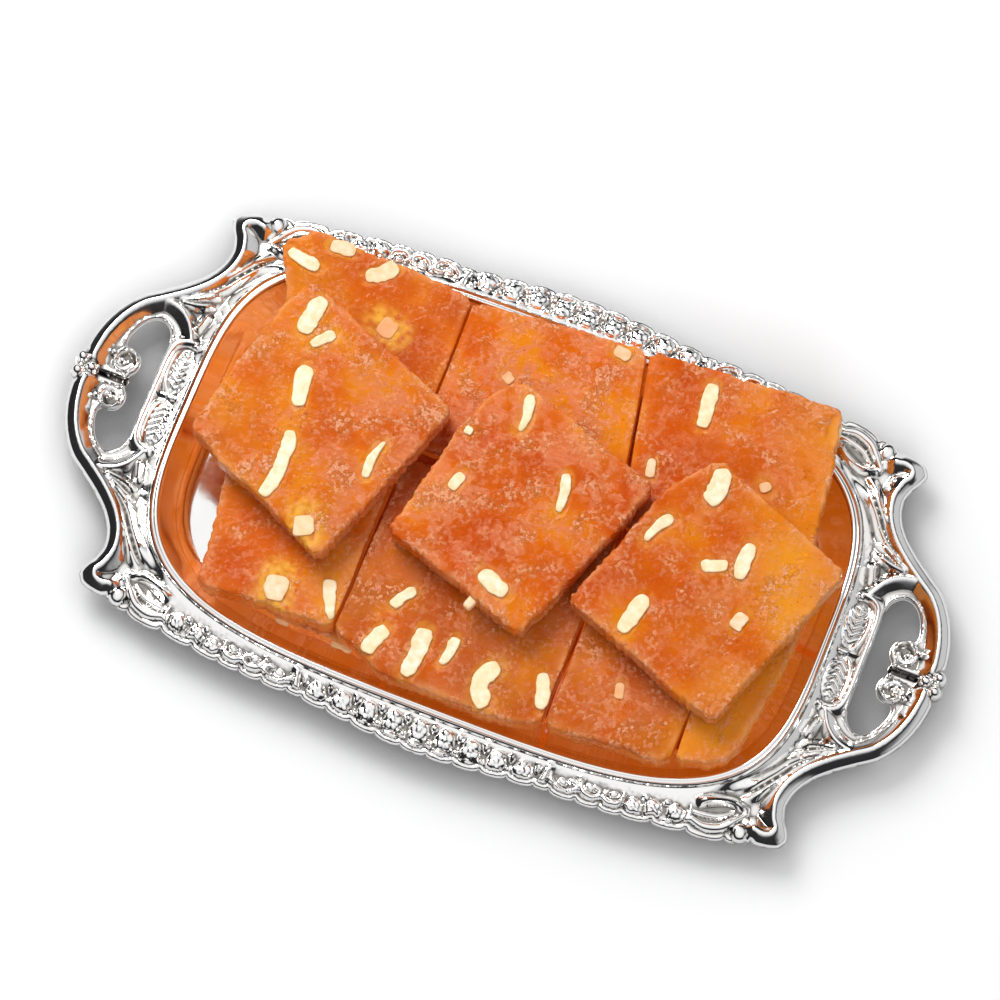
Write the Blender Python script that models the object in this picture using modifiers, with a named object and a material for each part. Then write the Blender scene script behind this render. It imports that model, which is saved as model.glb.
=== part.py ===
"""Bombay halwa on its serving tray: slabs of cashew jelly, stacked three deep on a silvered dish.

The dish is one piece with its two scroll handles. X runs from handle to handle, Z is up, and the
dish stands on Z = 0 with the middle of its well at X = Y = 0. Sizes below are in millimetres.
"""

import random
from collections import namedtuple
from math import atan, atan2, cos, hypot, pi, radians, sin, sqrt

import bmesh
import bpy
from mathutils import Matrix

MM = 0.001
CLEAR = 0.3  # left between pieces that touch

# Dish
RIM_HALF_LENGTH = 137.5  # to the crest of the rim
RIM_HALF_WIDTH = 84.5
RIM_POWER = 3.7  # of the superellipse that the rim follows
RIM_TOP = 19.0
SHEET = 1.6  # thickness of the metal
WELL_STEPS = ((-14.0, SHEET), (-10.0, 2.9), (-6.5, 7.0), (-2.2, 16.8))
RIM_STEPS = ((-0.6, RIM_TOP), (0.8, RIM_TOP), (2.4, 17.0))
BORDER_MIDDLE_TOP = 16.2  # halfway out across the border
BORDER_EDGE_TOP = 14.6
SKIRT_DROP = 3.0
SKIRT_FLARE = 0.6
BORDER_HALF_WIDTH = 101.0  # to the outer edge at the middle of a long side
SWELL = 4.5  # how far the edge bulges round the roses
SWELL_HALF_LENGTH = 62.0
CORNER_FALL = 11.0  # how far the edge draws in towards the tab
FALL_START = 60.0
FALL_LENGTH = 80.0
END_HALF_LENGTH = 153.5  # to the dish's edge inside a handle's gap
GAP_HALF_WIDTH = 27.0
WAIST = 9.0  # how far the short side draws in between gap and tab
TAB_TIP = (148.5, 82.5)  # the corner where border and handle part
LONG_SIDE_STEPS = 8  # in a quarter of the dish
SHORT_SIDE_STEPS = 6

# Handles
PLATE_TOP = 15.6
PLATE_THICK = 3.0
ROLL_RADIUS = 3.3
EDGE_BEAD_RADIUS = 1.5
CURL_AT = (168.0, 8.0)
CURL_RADIUS = 4.6
CURL_ROOM = 1.2  # between a curl and the plate's edge round it
KNOBS = ((184.0, 4.0, 3.6), (177.0, 3.4, 3.4))  # X, radius and rise
# Outer edge of the handle from inside the tab to the knob, for Y over 0
HANDLE_EDGE = (
    (128.0, 78.0), (143.0, 79.5), (144.2, 73.0), (144.0, 67.0), (146.0, 60.5), (150.5, 54.0),
    (157.0, 47.5), (165.0, 41.5), (172.5, 36.0), (178.5, 28.0), (182.6, 18.5), (184.4, 9.0),
)
# Edge of the gap that the fingers go through, from its straight side to the curl
GAP_EDGE = (
    (154.6, 22.0), (156.0, 26.4), (159.5, 29.4), (163.5, 29.2), (167.3, 26.2), (170.2, 21.2),
)
# Ends of the ribs between the gap and the tab
RIBS = (
    ((136.0, 66.0), (156.0, 46.0)),
    ((139.0, 51.0), (160.0, 42.5)),
    ((141.0, 39.0), (163.0, 40.0)),
)

# Relief on the border
ROSE_RADIUS = 5.3
ROSE_PITCH = 11.0
ROSE_ROW = 94.0
MIDDLE_ROSES = 9
RELIEF_RISE = 2.9

# A raised form on the metal: its middle, half length, half width and direction in radians
Boss = namedtuple("Boss", "x y length width turn")
CORNER_ROSES = (
    Boss(84.0, 91.0, 4.6, 4.6, 0.2),
    Boss(93.5, 89.8, 5.0, 4.6, 0.5),
    Boss(103.5, 88.0, 5.0, 4.8, 0.9),
)
SCROLLS = (
    Boss(57.0, 93.0, 7.2, 3.0, -0.25),
    Boss(70.0, 92.6, 7.4, 3.0, 0.2),
    Boss(114.0, 86.5, 7.0, 3.0, -0.35),
)
FLUTES = (
    Boss(123.0, 87.8, 6.6, 4.2, 1.2),
    Boss(132.0, 85.6, 6.6, 4.2, 1.05),
    Boss(141.0, 81.3, 6.6, 4.2, 0.9),
)
TAB_BOSS = Boss(145.5, 80.5, 4.0, 4.6, 0.0)
LEAF = Boss(146.5, 11.5, 5.0, 9.5, -0.12)
ROSETTE = Boss(146.5, 0.0, 4.0, 3.6, 0.0)

# Slabs
SLAB_THICK = 13.0
SLAB_ARRIS = 1.2  # the soft corner between a slab's face and side
SLAB_CORNER = 2.6
BASE_Z = SHEET + CLEAR
MIDDLE_Z = BASE_Z + SLAB_THICK + CLEAR
BACK_EDGE = 13.0  # where the back slabs leave the base and start to rise towards the rim
BACK_SLOPE = 0.08
UPPER_Z = MIDDLE_Z + SLAB_THICK + CLEAR
UPPER_EDGE = -50.0
UPPER_SLOPE = 0.0325
NUT_FLATNESS = 0.6

# A cashew piece: middle, length, direction in plan, width, sideways bow, and the depth of its
# middle under the slab's face, which is None where it lies in the face
Nut = namedtuple("Nut", "x y length turn width bend depth", defaults=(None,))


def start_empty():
    for old in list(bpy.data.objects):
        bpy.data.objects.remove(old, do_unlink=True)


def new_collection(name):
    collection = bpy.data.collections.new(name)
    bpy.context.scene.collection.children.link(collection)
    return collection


def new_material(name, color, roughness, metallic=0.0):
    material = bpy.data.materials.new(name)
    material.use_nodes = True
    shader = material.node_tree.nodes["Principled BSDF"]
    shader.inputs["Base Color"].default_value = (*color, 1.0)
    shader.inputs["Roughness"].default_value = roughness
    shader.inputs["Metallic"].default_value = metallic
    return material


def add_mesh(name, mesh, collection, material=None):
    piece = bpy.data.objects.new(name, mesh)
    if material:
        mesh.materials.append(material)
    collection.objects.link(piece)
    return piece


def mesh_of_curve(curve_object):
    """The curve's evaluated mesh, with its caps welded on. The curve itself is removed."""
    bpy.context.view_layer.update()
    evaluated = curve_object.evaluated_get(bpy.context.evaluated_depsgraph_get())
    mesh = bpy.data.meshes.new_from_object(evaluated)
    shell = bmesh.new()
    shell.from_mesh(mesh)
    bmesh.ops.remove_doubles(shell, verts=shell.verts, dist=1e-6)
    bmesh.ops.recalc_face_normals(shell, faces=shell.faces)
    shell.to_mesh(mesh)
    shell.free()
    mesh.materials.clear()
    bpy.data.objects.remove(curve_object, do_unlink=True)
    return mesh


def poly_spline(curve, points, closed):
    spline = curve.splines.new("POLY")
    spline.points.add(len(points) - 1)
    for place, (x, y, z, thickness) in zip(spline.points, points):
        place.co = (x * MM, y * MM, z * MM, 1.0)
        place.radius = thickness
    spline.use_cyclic_u = closed


def tube(name, points, radius, collection, sides=8, closed=False):
    """A bar along points of (x, y, z, share of the radius)."""
    curve = bpy.data.curves.new(name, "CURVE")
    curve.dimensions = "3D"
    curve.bevel_depth = radius * MM
    curve.bevel_resolution = sides // 2 - 2
    curve.use_fill_caps = not closed
    poly_spline(curve, points, closed)
    guide = bpy.data.objects.new(name, curve)
    collection.objects.link(guide)
    return add_mesh(name, mesh_of_curve(guide), collection)


def cut_sheet(name, outlines, half_thick, arris, collection):
    """A flat piece with these closed outlines, the first its edge and the others holes."""
    curve = bpy.data.curves.new(name, "CURVE")
    curve.dimensions = "2D"
    curve.fill_mode = "BOTH"
    curve.extrude = (half_thick - arris) * MM
    curve.bevel_depth = arris * MM
    curve.bevel_resolution = 0
    curve.offset = -arris * MM
    for outline in outlines:
        poly_spline(curve, [(x, y, 0.0, 1.0) for x, y in outline], True)
    guide = bpy.data.objects.new(name, curve)
    collection.objects.link(guide)
    return add_mesh(name, mesh_of_curve(guide), collection)


def mirrored(points, end=1, side=1):
    return [(end * p[0], side * p[1], *p[2:]) for p in points]


def rim_reach(angle, inset=0.0):
    """How far the rim's crest, moved in by inset, lies from the middle at this angle."""
    across = abs(cos(angle) / (RIM_HALF_LENGTH - inset)) ** RIM_POWER
    along = abs(sin(angle) / (RIM_HALF_WIDTH - inset)) ** RIM_POWER
    return (across + along) ** (-1 / RIM_POWER)


def border_edge(x):
    """Y of the dish's outer edge on a long side: a swell over the roses, then a fall to the tab."""
    swell = SWELL * (0.5 + 0.5 * cos(pi * min(abs(x) / SWELL_HALF_LENGTH, 1.0)))
    fall = CORNER_FALL * max(0.0, (abs(x) - FALL_START) / FALL_LENGTH) ** 2
    return BORDER_HALF_WIDTH - SWELL + swell - fall


def end_edge(y):
    """X of the dish's outer edge on a short side, waisted between the handle's gap and the tab."""
    share = (abs(y) - GAP_HALF_WIDTH) / (TAB_TIP[1] - GAP_HALF_WIDTH)
    if share < 0.0:
        return END_HALF_LENGTH
    reach = END_HALF_LENGTH + (TAB_TIP[0] - END_HALF_LENGTH) * share
    return reach - WAIST * sin(pi * share)


def quarter_edge():
    """The outer edge from the middle of a long side round the tab to the middle of a short side."""
    points = []
    for step in range(LONG_SIDE_STEPS):
        x = TAB_TIP[0] * step / LONG_SIDE_STEPS
        points.append((x, border_edge(x)))
    points.append(TAB_TIP)
    for step in range(1, SHORT_SIDE_STEPS + 1):
        y = TAB_TIP[1] * (1 - step / SHORT_SIDE_STEPS)
        points.append((end_edge(y), y))
    return points


def whole_edge():
    quarter = quarter_edge()
    back = quarter[::-1]
    return (
        back
        + mirrored(quarter, -1)[1:]
        + mirrored(back, -1, -1)[1:]
        + mirrored(quarter, 1, -1)[1:-1]
    )


def dish_rings():
    """Rings of points from the floor of the well out to the skirt, all starting at +X."""
    edge = whole_edge()
    rings = []
    for outward, height in WELL_STEPS:
        ring = []
        for x, y in edge:
            angle = atan2(y, x)
            reach = rim_reach(angle, -outward)
            ring.append((reach * cos(angle), reach * sin(angle), height))
        rings.append(ring)
    for outward, height in RIM_STEPS:
        ring = []
        for x, y in edge:
            reach = rim_reach(atan2(y, x)) + outward
            scale = reach / hypot(x, y)
            ring.append((x * scale, y * scale, height))
        rings.append(ring)
    inner = rings[-1]
    for share, height, flare in (
        (0.5, BORDER_MIDDLE_TOP, 0.0),
        (1.0, BORDER_EDGE_TOP, 0.0),
        (1.0, BORDER_EDGE_TOP - SKIRT_DROP, SKIRT_FLARE),
    ):
        ring = []
        for (x0, y0, _), (x1, y1) in zip(inner, edge):
            away = hypot(x1, y1)
            x = x0 + (x1 - x0) * share + flare * x1 / away
            y = y0 + (y1 - y0) * share + flare * y1 / away
            ring.append((x, y, height))
        rings.append(ring)
    return rings


def dish(collection, material):
    """The pressed sheet: well, rim and border, given its thickness on the underside."""
    shell = bmesh.new()
    rings = []
    for ring in dish_rings():
        rings.append([shell.verts.new((x * MM, y * MM, z * MM)) for x, y, z in ring])
    shell.faces.new(rings[0])
    for inner, outer in zip(rings, rings[1:]):
        count = len(inner)
        for i in range(count):
            j = (i + 1) % count
            shell.faces.new((inner[i], outer[i], outer[j], inner[j]))
    mesh = bpy.data.meshes.new("tray")
    shell.to_mesh(mesh)
    shell.free()
    tray = add_mesh("tray", mesh, collection, material)
    thick = tray.modifiers.new("sheet", "SOLIDIFY")
    thick.thickness = SHEET * MM
    thick.offset = -1.0
    return tray


def dome(name, boss, z, rise, collection, end=1, side=1, sides=6):
    """A boss on the metal: the upper half of a squashed ball, mirrored to this end and side."""
    ball = bmesh.new()
    bmesh.ops.create_uvsphere(ball, u_segments=sides, v_segments=4, radius=1.0)
    everything = ball.verts[:] + ball.edges[:] + ball.faces[:]
    bmesh.ops.bisect_plane(
        ball, geom=everything, plane_co=(0, 0, 0.1), plane_no=(0, 0, -1), clear_outer=True
    )
    bmesh.ops.holes_fill(ball, edges=ball.edges[:], sides=0)
    size = Matrix.Diagonal((boss.length * MM, boss.width * MM, rise * MM, 1.0))
    turn = Matrix.Rotation(end * side * boss.turn, 4, "Z")
    place = Matrix.Translation((end * boss.x * MM, side * boss.y * MM, z * MM))
    bmesh.ops.transform(ball, matrix=place @ turn @ size, verts=ball.verts[:])
    bmesh.ops.recalc_face_normals(ball, faces=ball.faces[:])
    mesh = bpy.data.meshes.new(name)
    ball.to_mesh(mesh)
    ball.free()
    return add_mesh(name, mesh, collection)


def border_height(x, y):
    """About where the sheet's top lies under a boss, halfway through its thickness."""
    share = (border_edge(x) - abs(y)) / 11.0
    return 14.1 + 2.0 * min(max(share, 0.0), 1.0)


def border_relief(collection):
    """Roses in the middle and near each corner, scrolls between them, and a fluted tab."""
    for side in (1, -1):
        for count in range(MIDDLE_ROSES):
            x = (count - (MIDDLE_ROSES - 1) / 2) * ROSE_PITCH
            odd = count % 2
            rose = Boss(x, ROSE_ROW - 0.6 * odd, ROSE_RADIUS, ROSE_RADIUS, 0.3 * count)
            height = border_height(rose.x, rose.y)
            dome("rose", rose, height, RELIEF_RISE + 0.5 * odd, collection, 1, side, 7)
    for end in (1, -1):
        for side in (1, -1):
            for boss in CORNER_ROSES + SCROLLS:
                height = border_height(boss.x, boss.y)
                dome("boss", boss, height, RELIEF_RISE, collection, end, side)
            for flute in FLUTES:
                dome("flute", flute, 14.0, 3.2, collection, end, side)
            dome("tab", TAB_BOSS, 14.0, 4.0, collection, end, side)
            dome("leaf", LEAF, 15.0, 3.2, collection, end, side)
        dome("rosette", ROSETTE, 15.2, 3.4, collection, end)


def gap_outline():
    """The gap's edge for Y over 0, with the part that goes round the curl."""
    points = list(GAP_EDGE)
    for step in range(5):
        angle = radians(62 + 32 * step)
        reach = CURL_RADIUS + CURL_ROOM
        points.append((CURL_AT[0] + reach * cos(angle), CURL_AT[1] + reach * sin(angle)))
    return points


def both_sides(half):
    return half + mirrored(half, 1, -1)[::-1]


def handle(end, collection):
    """Plate, outer roll, bead round the gap, curls and knob of one handle."""
    outer = mirrored(both_sides(list(HANDLE_EDGE)), end)
    gap = both_sides(gap_outline())
    half_thick = PLATE_THICK / 2
    plate = cut_sheet("plate", [outer, mirrored(gap, end)], half_thick, 0.0, collection)
    plate.location.z = (PLATE_TOP - half_thick) * MM
    curl = Boss(*CURL_AT, CURL_RADIUS, CURL_RADIUS, 0.0)
    roll_height = PLATE_TOP - 1.0
    for side in (1, -1):
        roll = []
        for x, y in HANDLE_EDGE[1:]:
            roll.append((x - ROLL_RADIUS * 0.8, y - 0.8, roll_height, 1.0))
        roll.append((181.0, 4.5, roll_height, 0.9))
        tube("roll", mirrored(roll, end, side), ROLL_RADIUS, collection, sides=6)
        for (x0, y0), (x1, y1) in RIBS:
            middle = ((x0 + x1) / 2 - 0.8, (y0 + y1) / 2 - 1.2, PLATE_TOP + 0.3, 1.0)
            rib = [(x0, y0, PLATE_TOP, 0.8), middle, (x1, y1, PLATE_TOP, 0.8)]
            tube("rib", mirrored(rib, end, side), EDGE_BEAD_RADIUS, collection, sides=4)
        dome("curl", curl, PLATE_TOP - 1.2, 3.4, collection, end, side, 8)
    bead = [(x, y, PLATE_TOP, 1.0) for x, y in gap]
    tube("bead", mirrored(bead, end), EDGE_BEAD_RADIUS, collection, sides=4, closed=True)
    for x, reach, rise in KNOBS:
        dome("knob", Boss(x, 0.0, reach, reach, 0.0), PLATE_TOP - 1.6, rise, collection, end, sides=8)


def make_tray(collection, material):
    """Everything metal, joined into one piece."""
    tray = dish(collection, material)
    additions = new_collection("tray_additions")
    border_relief(additions)
    for end in (1, -1):
        handle(end, additions)
    for piece in additions.objects:
        piece.data.materials.append(material)
    join = tray.modifiers.new("join", "BOOLEAN")
    join.operation = "UNION"
    join.operand_type = "COLLECTION"
    join.collection = additions
    join.solver = "EXACT"
    bpy.context.view_layer.update()
    evaluated = tray.evaluated_get(bpy.context.evaluated_depsgraph_get())
    joined = bpy.data.meshes.new_from_object(evaluated)
    tray.modifiers.clear()
    tray.data = joined
    for piece in list(additions.objects):
        bpy.data.objects.remove(piece, do_unlink=True)
    bpy.data.collections.remove(additions)
    joined.shade_smooth()
    joined.set_sharp_from_angle(angle=radians(40))
    return tray


def inside_well(x, y, inset):
    """The point itself, or where it meets the well's wall on the way to the middle."""
    reach = hypot(x, y)
    limit = rim_reach(atan2(y, x), inset)
    shrink = min(1.0, limit / reach) if reach else 1.0
    return x * shrink, y * shrink


def soft_outline(corners, inset, rng):
    """A cut slab's edge: corners rounded, sides a little bowed and uneven, all inside the well."""
    points = []
    count = len(corners)
    for i, (x, y) in enumerate(corners):
        x_before, y_before = corners[i - 1]
        x_after, y_after = corners[(i + 1) % count]
        before = hypot(x_before - x, y_before - y)
        after = hypot(x_after - x, y_after - y)
        start = (x + (x_before - x) * SLAB_CORNER / before, y + (y_before - y) * SLAB_CORNER / before)
        finish = (x + (x_after - x) * SLAB_CORNER / after, y + (y_after - y) * SLAB_CORNER / after)
        points += [start, finish]
        bow = rng.uniform(-0.7, 0.5)
        steps = 3 if after > 40.0 else 1
        for step in range(1, steps + 1):
            share = step / (steps + 1)
            outward = bow * 4 * share * (1 - share) + rng.uniform(-0.4, 0.4)
            normal_x, normal_y = (y - y_after) / after, (x_after - x) / after
            points.append((
                x + (x_after - x) * share + outward * normal_x,
                y + (y_after - y) * share + outward * normal_y,
            ))
    if inset is None:
        return points
    return [inside_well(x, y, inset) for x, y in points]


def nut_points(nut, grow=0.0):
    """Centre line of one cashew piece: a shallow bow, thinner at its ends."""
    half = nut.length / 2 - nut.width * 0.3 + grow * 0.4
    turn = radians(nut.turn)
    points = []
    for share in (-1.0, -0.35, 0.35, 1.0) if abs(nut.bend) > 1.0 else (-1.0, 0.0, 1.0):
        along = half * share
        aside = nut.bend * (1 - share * share)
        x = nut.x + along * cos(turn) - aside * sin(turn)
        y = nut.y + along * sin(turn) + aside * cos(turn)
        thickness = sqrt(1 - 0.45 * share * share)
        points.append((x, y, 0.0, thickness))
    return points


def nut_body(name, nut, grow, collection):
    """A cashew piece lying along the slab's face, flattened, and grown when it is to cut its bed."""
    body = tube(name, nut_points(nut, grow), nut.width / 2 + grow, collection, sides=6)
    flat = Matrix.Diagonal((1.0, 1.0, NUT_FLATNESS if not grow else NUT_FLATNESS + 0.06, 1.0))
    body.data.transform(flat)
    return body


def make_slab(name, corners, low, edge_y, slope, nuts, rooms, inset=None):
    """One slab, lying on z = low + slope * (y - edge_y), with beds cut for its nuts."""
    rng = random.Random(name)
    slab = cut_sheet(name, [soft_outline(corners, inset, rng)], SLAB_THICK / 2, SLAB_ARRIS, rooms["pieces"])
    slab.data.materials.append(rooms["jelly"])
    tilt = atan(slope)
    slab.rotation_euler.x = tilt
    height = low + slope * -edge_y + SLAB_THICK / 2 / cos(tilt)
    slab.location.z = height * MM
    if not nuts:
        return slab
    beds = new_collection(name + "_beds")
    rooms["cutters"].children.link(beds)
    bpy.context.scene.collection.children.unlink(beds)
    for nut in nuts:
        rooms["count"] += 1
        nut_name = f"nut_{rooms['count']:02d}"
        sunk = nut.width * NUT_FLATNESS * 0.15 if nut.depth is None else nut.depth
        piece = nut_body(nut_name, nut, 0.0, rooms["pieces"])
        piece.data.materials.append(rooms["nut"])
        bed = nut_body(nut_name + "_bed", nut, CLEAR, beds)
        for body in (piece, bed):
            body.parent = slab
            body.location.z = (SLAB_THICK / 2 - sunk) * MM
            body.data.shade_smooth()
        bed.hide_render = True
        bed.display_type = "WIRE"
    cut = slab.modifiers.new("beds", "BOOLEAN")
    cut.operation = "DIFFERENCE"
    cut.operand_type = "COLLECTION"
    cut.collection = beds
    cut.solver = "EXACT"
    return slab


def base_slabs(rooms):
    """Six slabs flat on the floor of the well, in two rows."""
    rows = (
        ("front", (-71.0, -1.0), ((-106.0, -24.0), (-22.5, 44.5), (46.0, 123.0))),
        ("back", (1.0, 71.0), ((-113.0, -45.0), (-43.5, 35.0), (36.5, 122.0))),
    )
    cut_nuts = {
        "front_left": [
            Nut(-81, -65.2, 9, 169, 6.0, 0, 4.5), Nut(-68, -67.6, 10, 172, 6.0, 0, 5.0),
            Nut(-42, -69.2, 13, 178, 6.0, 0, 4.5),
        ],
        "front_right": [Nut(64, -68.6, 13, 0, 6.0, 0, 5.0), Nut(92, -63.5, 10, 14, 6.0, 0, 5.0)],
    }
    for row, (y0, y1), spans in rows:
        for place, (x0, x1) in zip(("left", "middle", "right"), spans):
            corners = [(x0, y0), (x1, y0), (x1, y1), (x0, y1)]
            nuts = cut_nuts.get(f"{row}_{place}", [])
            make_slab(f"slab_base_{row}_{place}", corners, BASE_Z, 0.0, 0.0, nuts, rooms, 13.2)


def front_slabs(rooms):
    """The middle layer on the near side, flat on the base slabs."""
    left = [(-103.5, -71.5), (-47.0, -69.5), (-46.8, 8.0), (-114.0, 8.0)]
    left_nuts = [
        Nut(-73, -62, 16, 100, 9.5, 0), Nut(-51, -58.5, 20, 112, 6.5, 0.5),
    ]
    middle = [(-45.4, -70.0), (-20.0, -80.0), (24.0, -80.0), (44.6, -76.5), (44.8, 8.0), (-45.2, 8.0)]
    middle_nuts = [
        Nut(-24, -47.5, 14, 58, 5.0, 0.8), Nut(-28, -67.5, 16, 72, 6.0, 0.8),
        Nut(-12.4, -66.4, 25, 86, 8.0, -1.0), Nut(0, -61, 15, 80, 5.0, -0.6),
        Nut(21.4, -68.4, 19, 92, 6.6, 4.0), Nut(40, -63, 18, 106, 6.0, -0.8),
    ]
    right = [(46.4, -76.0), (70.0, -73.5), (97.0, -72.0), (97.4, 8.0), (46.6, 8.0)]
    right_nuts = [Nut(69, -51.5, 9, 105, 4.0, 0)]
    far_right = [(99.0, -70.5), (114.0, -66.0), (121.0, -58.0), (127.0, -9.0), (127.5, 11.0), (99.2, 11.0)]
    for name, corners, nuts in (
        ("slab_front_left", left, left_nuts),
        ("slab_front_middle", middle, middle_nuts),
        ("slab_front_right", right, right_nuts),
        ("slab_end_right", far_right, []),
    ):
        make_slab(name, corners, MIDDLE_Z, 0.0, 0.0, nuts, rooms, 3.6)


def back_slabs(rooms):
    """The middle layer on the far side, which rises to lie over the rim."""
    left = [(-125.5, 74.0), (-115.5, 55.0), (-109.0, 13.4), (-44.6, 13.4), (-44.6, 79.2), (-114.0, 83.5)]
    left_nuts = [
        Nut(-114, 70, 17, 168, 5.5, 0.8), Nut(-101, 79.5, 14, 4, 6.0, 0),
        Nut(-83, 76, 17, 40, 6.5, -0.8), Nut(-72, 55, 12, 165, 8.0, 0),
    ]
    middle = [(-43.4, 13.4), (42.6, 13.4), (28.6, 83.8), (-43.4, 78.4)]
    middle_nuts = [Nut(-19, 53, 7, 150, 4.5, 0), Nut(20, 79, 10, 170, 5.0, 0)]
    right = [(44.4, 13.4), (122.5, 13.4), (119.6, 33.0), (111.0, 89.4), (30.2, 84.2)]
    right_nuts = [
        Nut(59.5, 71, 22, 95, 6.0, 0), Nut(48, 39, 10, 101, 4.0, 0.4), Nut(93, 48, 7, 130, 5.0, 0),
        Nut(110.5, 80, 10, 99, 5.0, 0, 3.5),
    ]
    for name, corners, nuts in (
        ("slab_back_left", left, left_nuts),
        ("slab_back_middle", middle, middle_nuts),
        ("slab_back_right", right, right_nuts),
    ):
        make_slab(name, corners, MIDDLE_Z, BACK_EDGE, BACK_SLOPE, nuts, rooms)


def upper_slabs(rooms):
    """Three slabs set cornerwise on top, each bridging the front and back ones."""
    left = [(-128.8, -16.8), (-60.5, -47.8), (-32.6, 28.4), (-105.5, 59.0), (-113.2, 45.0)]
    left_nuts = [
        Nut(-99.4, 44.4, 21, 82, 7.5, 0.6), Nut(-92.3, 36.6, 13.5, 47, 4.5, 0),
        Nut(-92.3, 15.7, 20.5, 100, 6.8, 0.8), Nut(-90.4, -17.6, 32, 88, 6.0, -1.6),
        Nut(-54.2, -2.2, 19, 83, 5.0, 1.2), Nut(-70.6, -37.6, 13.5, 115, 9.0, 0),
    ]
    middle = [(-39.8, -27.0), (24.8, -48.5), (53.4, 28.0), (-13.0, 50.5), (-26.8, 30.0)]
    middle_nuts = [
        Nut(-6.0, 37.4, 18.5, 96, 5.2, -0.8), Nut(-20.9, 1.3, 11, 74, 4.8, 0),
        Nut(19.6, 12.0, 18.5, 99, 5.0, -0.8), Nut(8.4, -31.2, 15.5, 156, 6.8, 1.8),
        Nut(-24.2, 22.4, 5.6, 174, 3.6, 0), Nut(2.4, -41.2, 9, 162, 8.0, 0, 3.6),
    ]
    right = [(37.2, -28.0), (108.5, -53.5), (136.0, 22.0), (73.5, 48.2), (57.4, 30.4)]
    right_nuts = [
        Nut(74.4, 36.6, 16.5, 90, 7.2, -3.0), Nut(60.8, 12.2, 17.5, 61, 5.4, 0.8),
        Nut(86.6, 5.6, 13, 21, 5.0, 0.6), Nut(97.4, 12.0, 19, 90, 6.6, 0.6),
        Nut(63.7, -23.8, 22, 76, 6.8, 0), Nut(103.5, -11.6, 11, 76, 6.2, 0),
    ]
    for name, corners, nuts in (
        ("slab_top_left", left, left_nuts),
        ("slab_top_middle", middle, middle_nuts),
        ("slab_top_right", right, right_nuts),
    ):
        make_slab(name, corners, UPPER_Z, UPPER_EDGE, UPPER_SLOPE, nuts, rooms)


def main():
    start_empty()
    pieces = new_collection("bombay_halwa")
    cutters = new_collection("cutters")
    rooms = {
        "pieces": pieces,
        "cutters": cutters,
        "jelly": new_material("orange_jelly", (0.78, 0.13, 0.015), 0.22),
        "nut": new_material("cashew", (0.95, 0.82, 0.58), 0.5),
        "count": 0,
    }
    metal = new_material("silver_plate", (0.86, 0.86, 0.86), 0.1, 1.0)
    make_tray(pieces, metal)
    base_slabs(rooms)
    front_slabs(rooms)
    back_slabs(rooms)
    upper_slabs(rooms)
    cutters.hide_render = True


main()
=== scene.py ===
"""Bombay halwa on its silvered serving tray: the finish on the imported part.

Lengths in the code are millimetres until mesh_piece turns them to metres.
"""

from math import atan, cos, pi, radians, sin, sqrt, tau

import bpy
import numpy as np
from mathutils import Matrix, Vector
from mathutils.geometry import delaunay_2d_cdt
from mathutils.kdtree import KDTree


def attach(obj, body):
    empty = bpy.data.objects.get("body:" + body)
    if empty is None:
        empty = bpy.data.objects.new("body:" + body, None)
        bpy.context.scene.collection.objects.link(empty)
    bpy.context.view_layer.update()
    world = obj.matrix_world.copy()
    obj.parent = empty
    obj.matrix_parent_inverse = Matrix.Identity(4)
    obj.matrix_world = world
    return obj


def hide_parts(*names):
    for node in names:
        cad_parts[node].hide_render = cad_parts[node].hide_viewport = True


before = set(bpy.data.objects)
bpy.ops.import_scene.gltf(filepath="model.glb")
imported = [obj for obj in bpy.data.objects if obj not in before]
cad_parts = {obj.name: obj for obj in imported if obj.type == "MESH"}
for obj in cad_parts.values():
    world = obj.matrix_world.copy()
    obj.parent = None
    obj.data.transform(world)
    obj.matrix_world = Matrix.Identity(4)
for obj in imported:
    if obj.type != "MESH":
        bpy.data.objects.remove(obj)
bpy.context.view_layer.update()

MM = 0.001

# Tray, as in the part's source
RIM_HALF_LENGTH = 137.5
RIM_HALF_WIDTH = 84.5
RIM_POWER = 3.7
SHEET = 1.6
WELL_BACK = ((2.4, 15.3), (0.9, 16.9), (-0.7, 16.5), (-1.9, 13.4), (-3.9, 8.6), (-5.6, 5.0),
             (-7.8, 2.4), (-10.2, 0.8), (-12.6, 0.1), (-14.5, 0.02), (-40.0, 0.02))
# The well from its floor up the wall and over the two rounds of the rim with a groove between
WELL_FACE = ((-40.0, 1.6), (-14.0, 1.6), (-12.8, 1.7), (-11.6, 2.1), (-10.4, 2.8), (-9.2, 3.8),
             (-8.0, 5.1), (-6.9, 6.8), (-5.8, 9.0), (-4.7, 11.5), (-3.7, 13.9), (-3.0, 15.7),
             (-2.55, 16.9), (-2.2, 17.8), (-1.75, 18.45), (-1.2, 18.75), (-0.65, 18.6), (-0.3, 18.2),
             (0.05, 18.2), (0.4, 18.7), (0.9, 19.0), (1.4, 18.75), (1.85, 17.95), (2.15, 17.3),
             (2.4, 16.9))
RIM_FOOT = 2.4  # from the crest of the rim out to where the border starts
GRAIN = 0.55  # spacing of the border's points
LOBE = 11.0  # length of each lobe in the middle of a long side
ROLL_TOP, ARC_TOP, BAR_TOP = 17.9, 17.2, 16.3  # heights of the handle's crests
FRAMED_TOP = 13.7  # ground between these crests and the gap
EDGE_FEET = (("gap", 12.4), ("edge", 11.9))  # how low the metal's two edges come
LONG_SIDE = (112.0, 120.0)  # from here to there the ornament of the long sides ends
QUARTER = (190.0, 104.0)  # far corner of a box round a quarter of the tray

# Slabs
SLAB_THICK = 13.0
BASE_LOW = 1.9
MIDDLE_LOW = 15.2
BACK_EDGE = 13.0
BACK_SLOPE = 0.08
UPPER_LOW = 28.5
UPPER_EDGE = -50.0
UPPER_SLOPE = 0.0325


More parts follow.
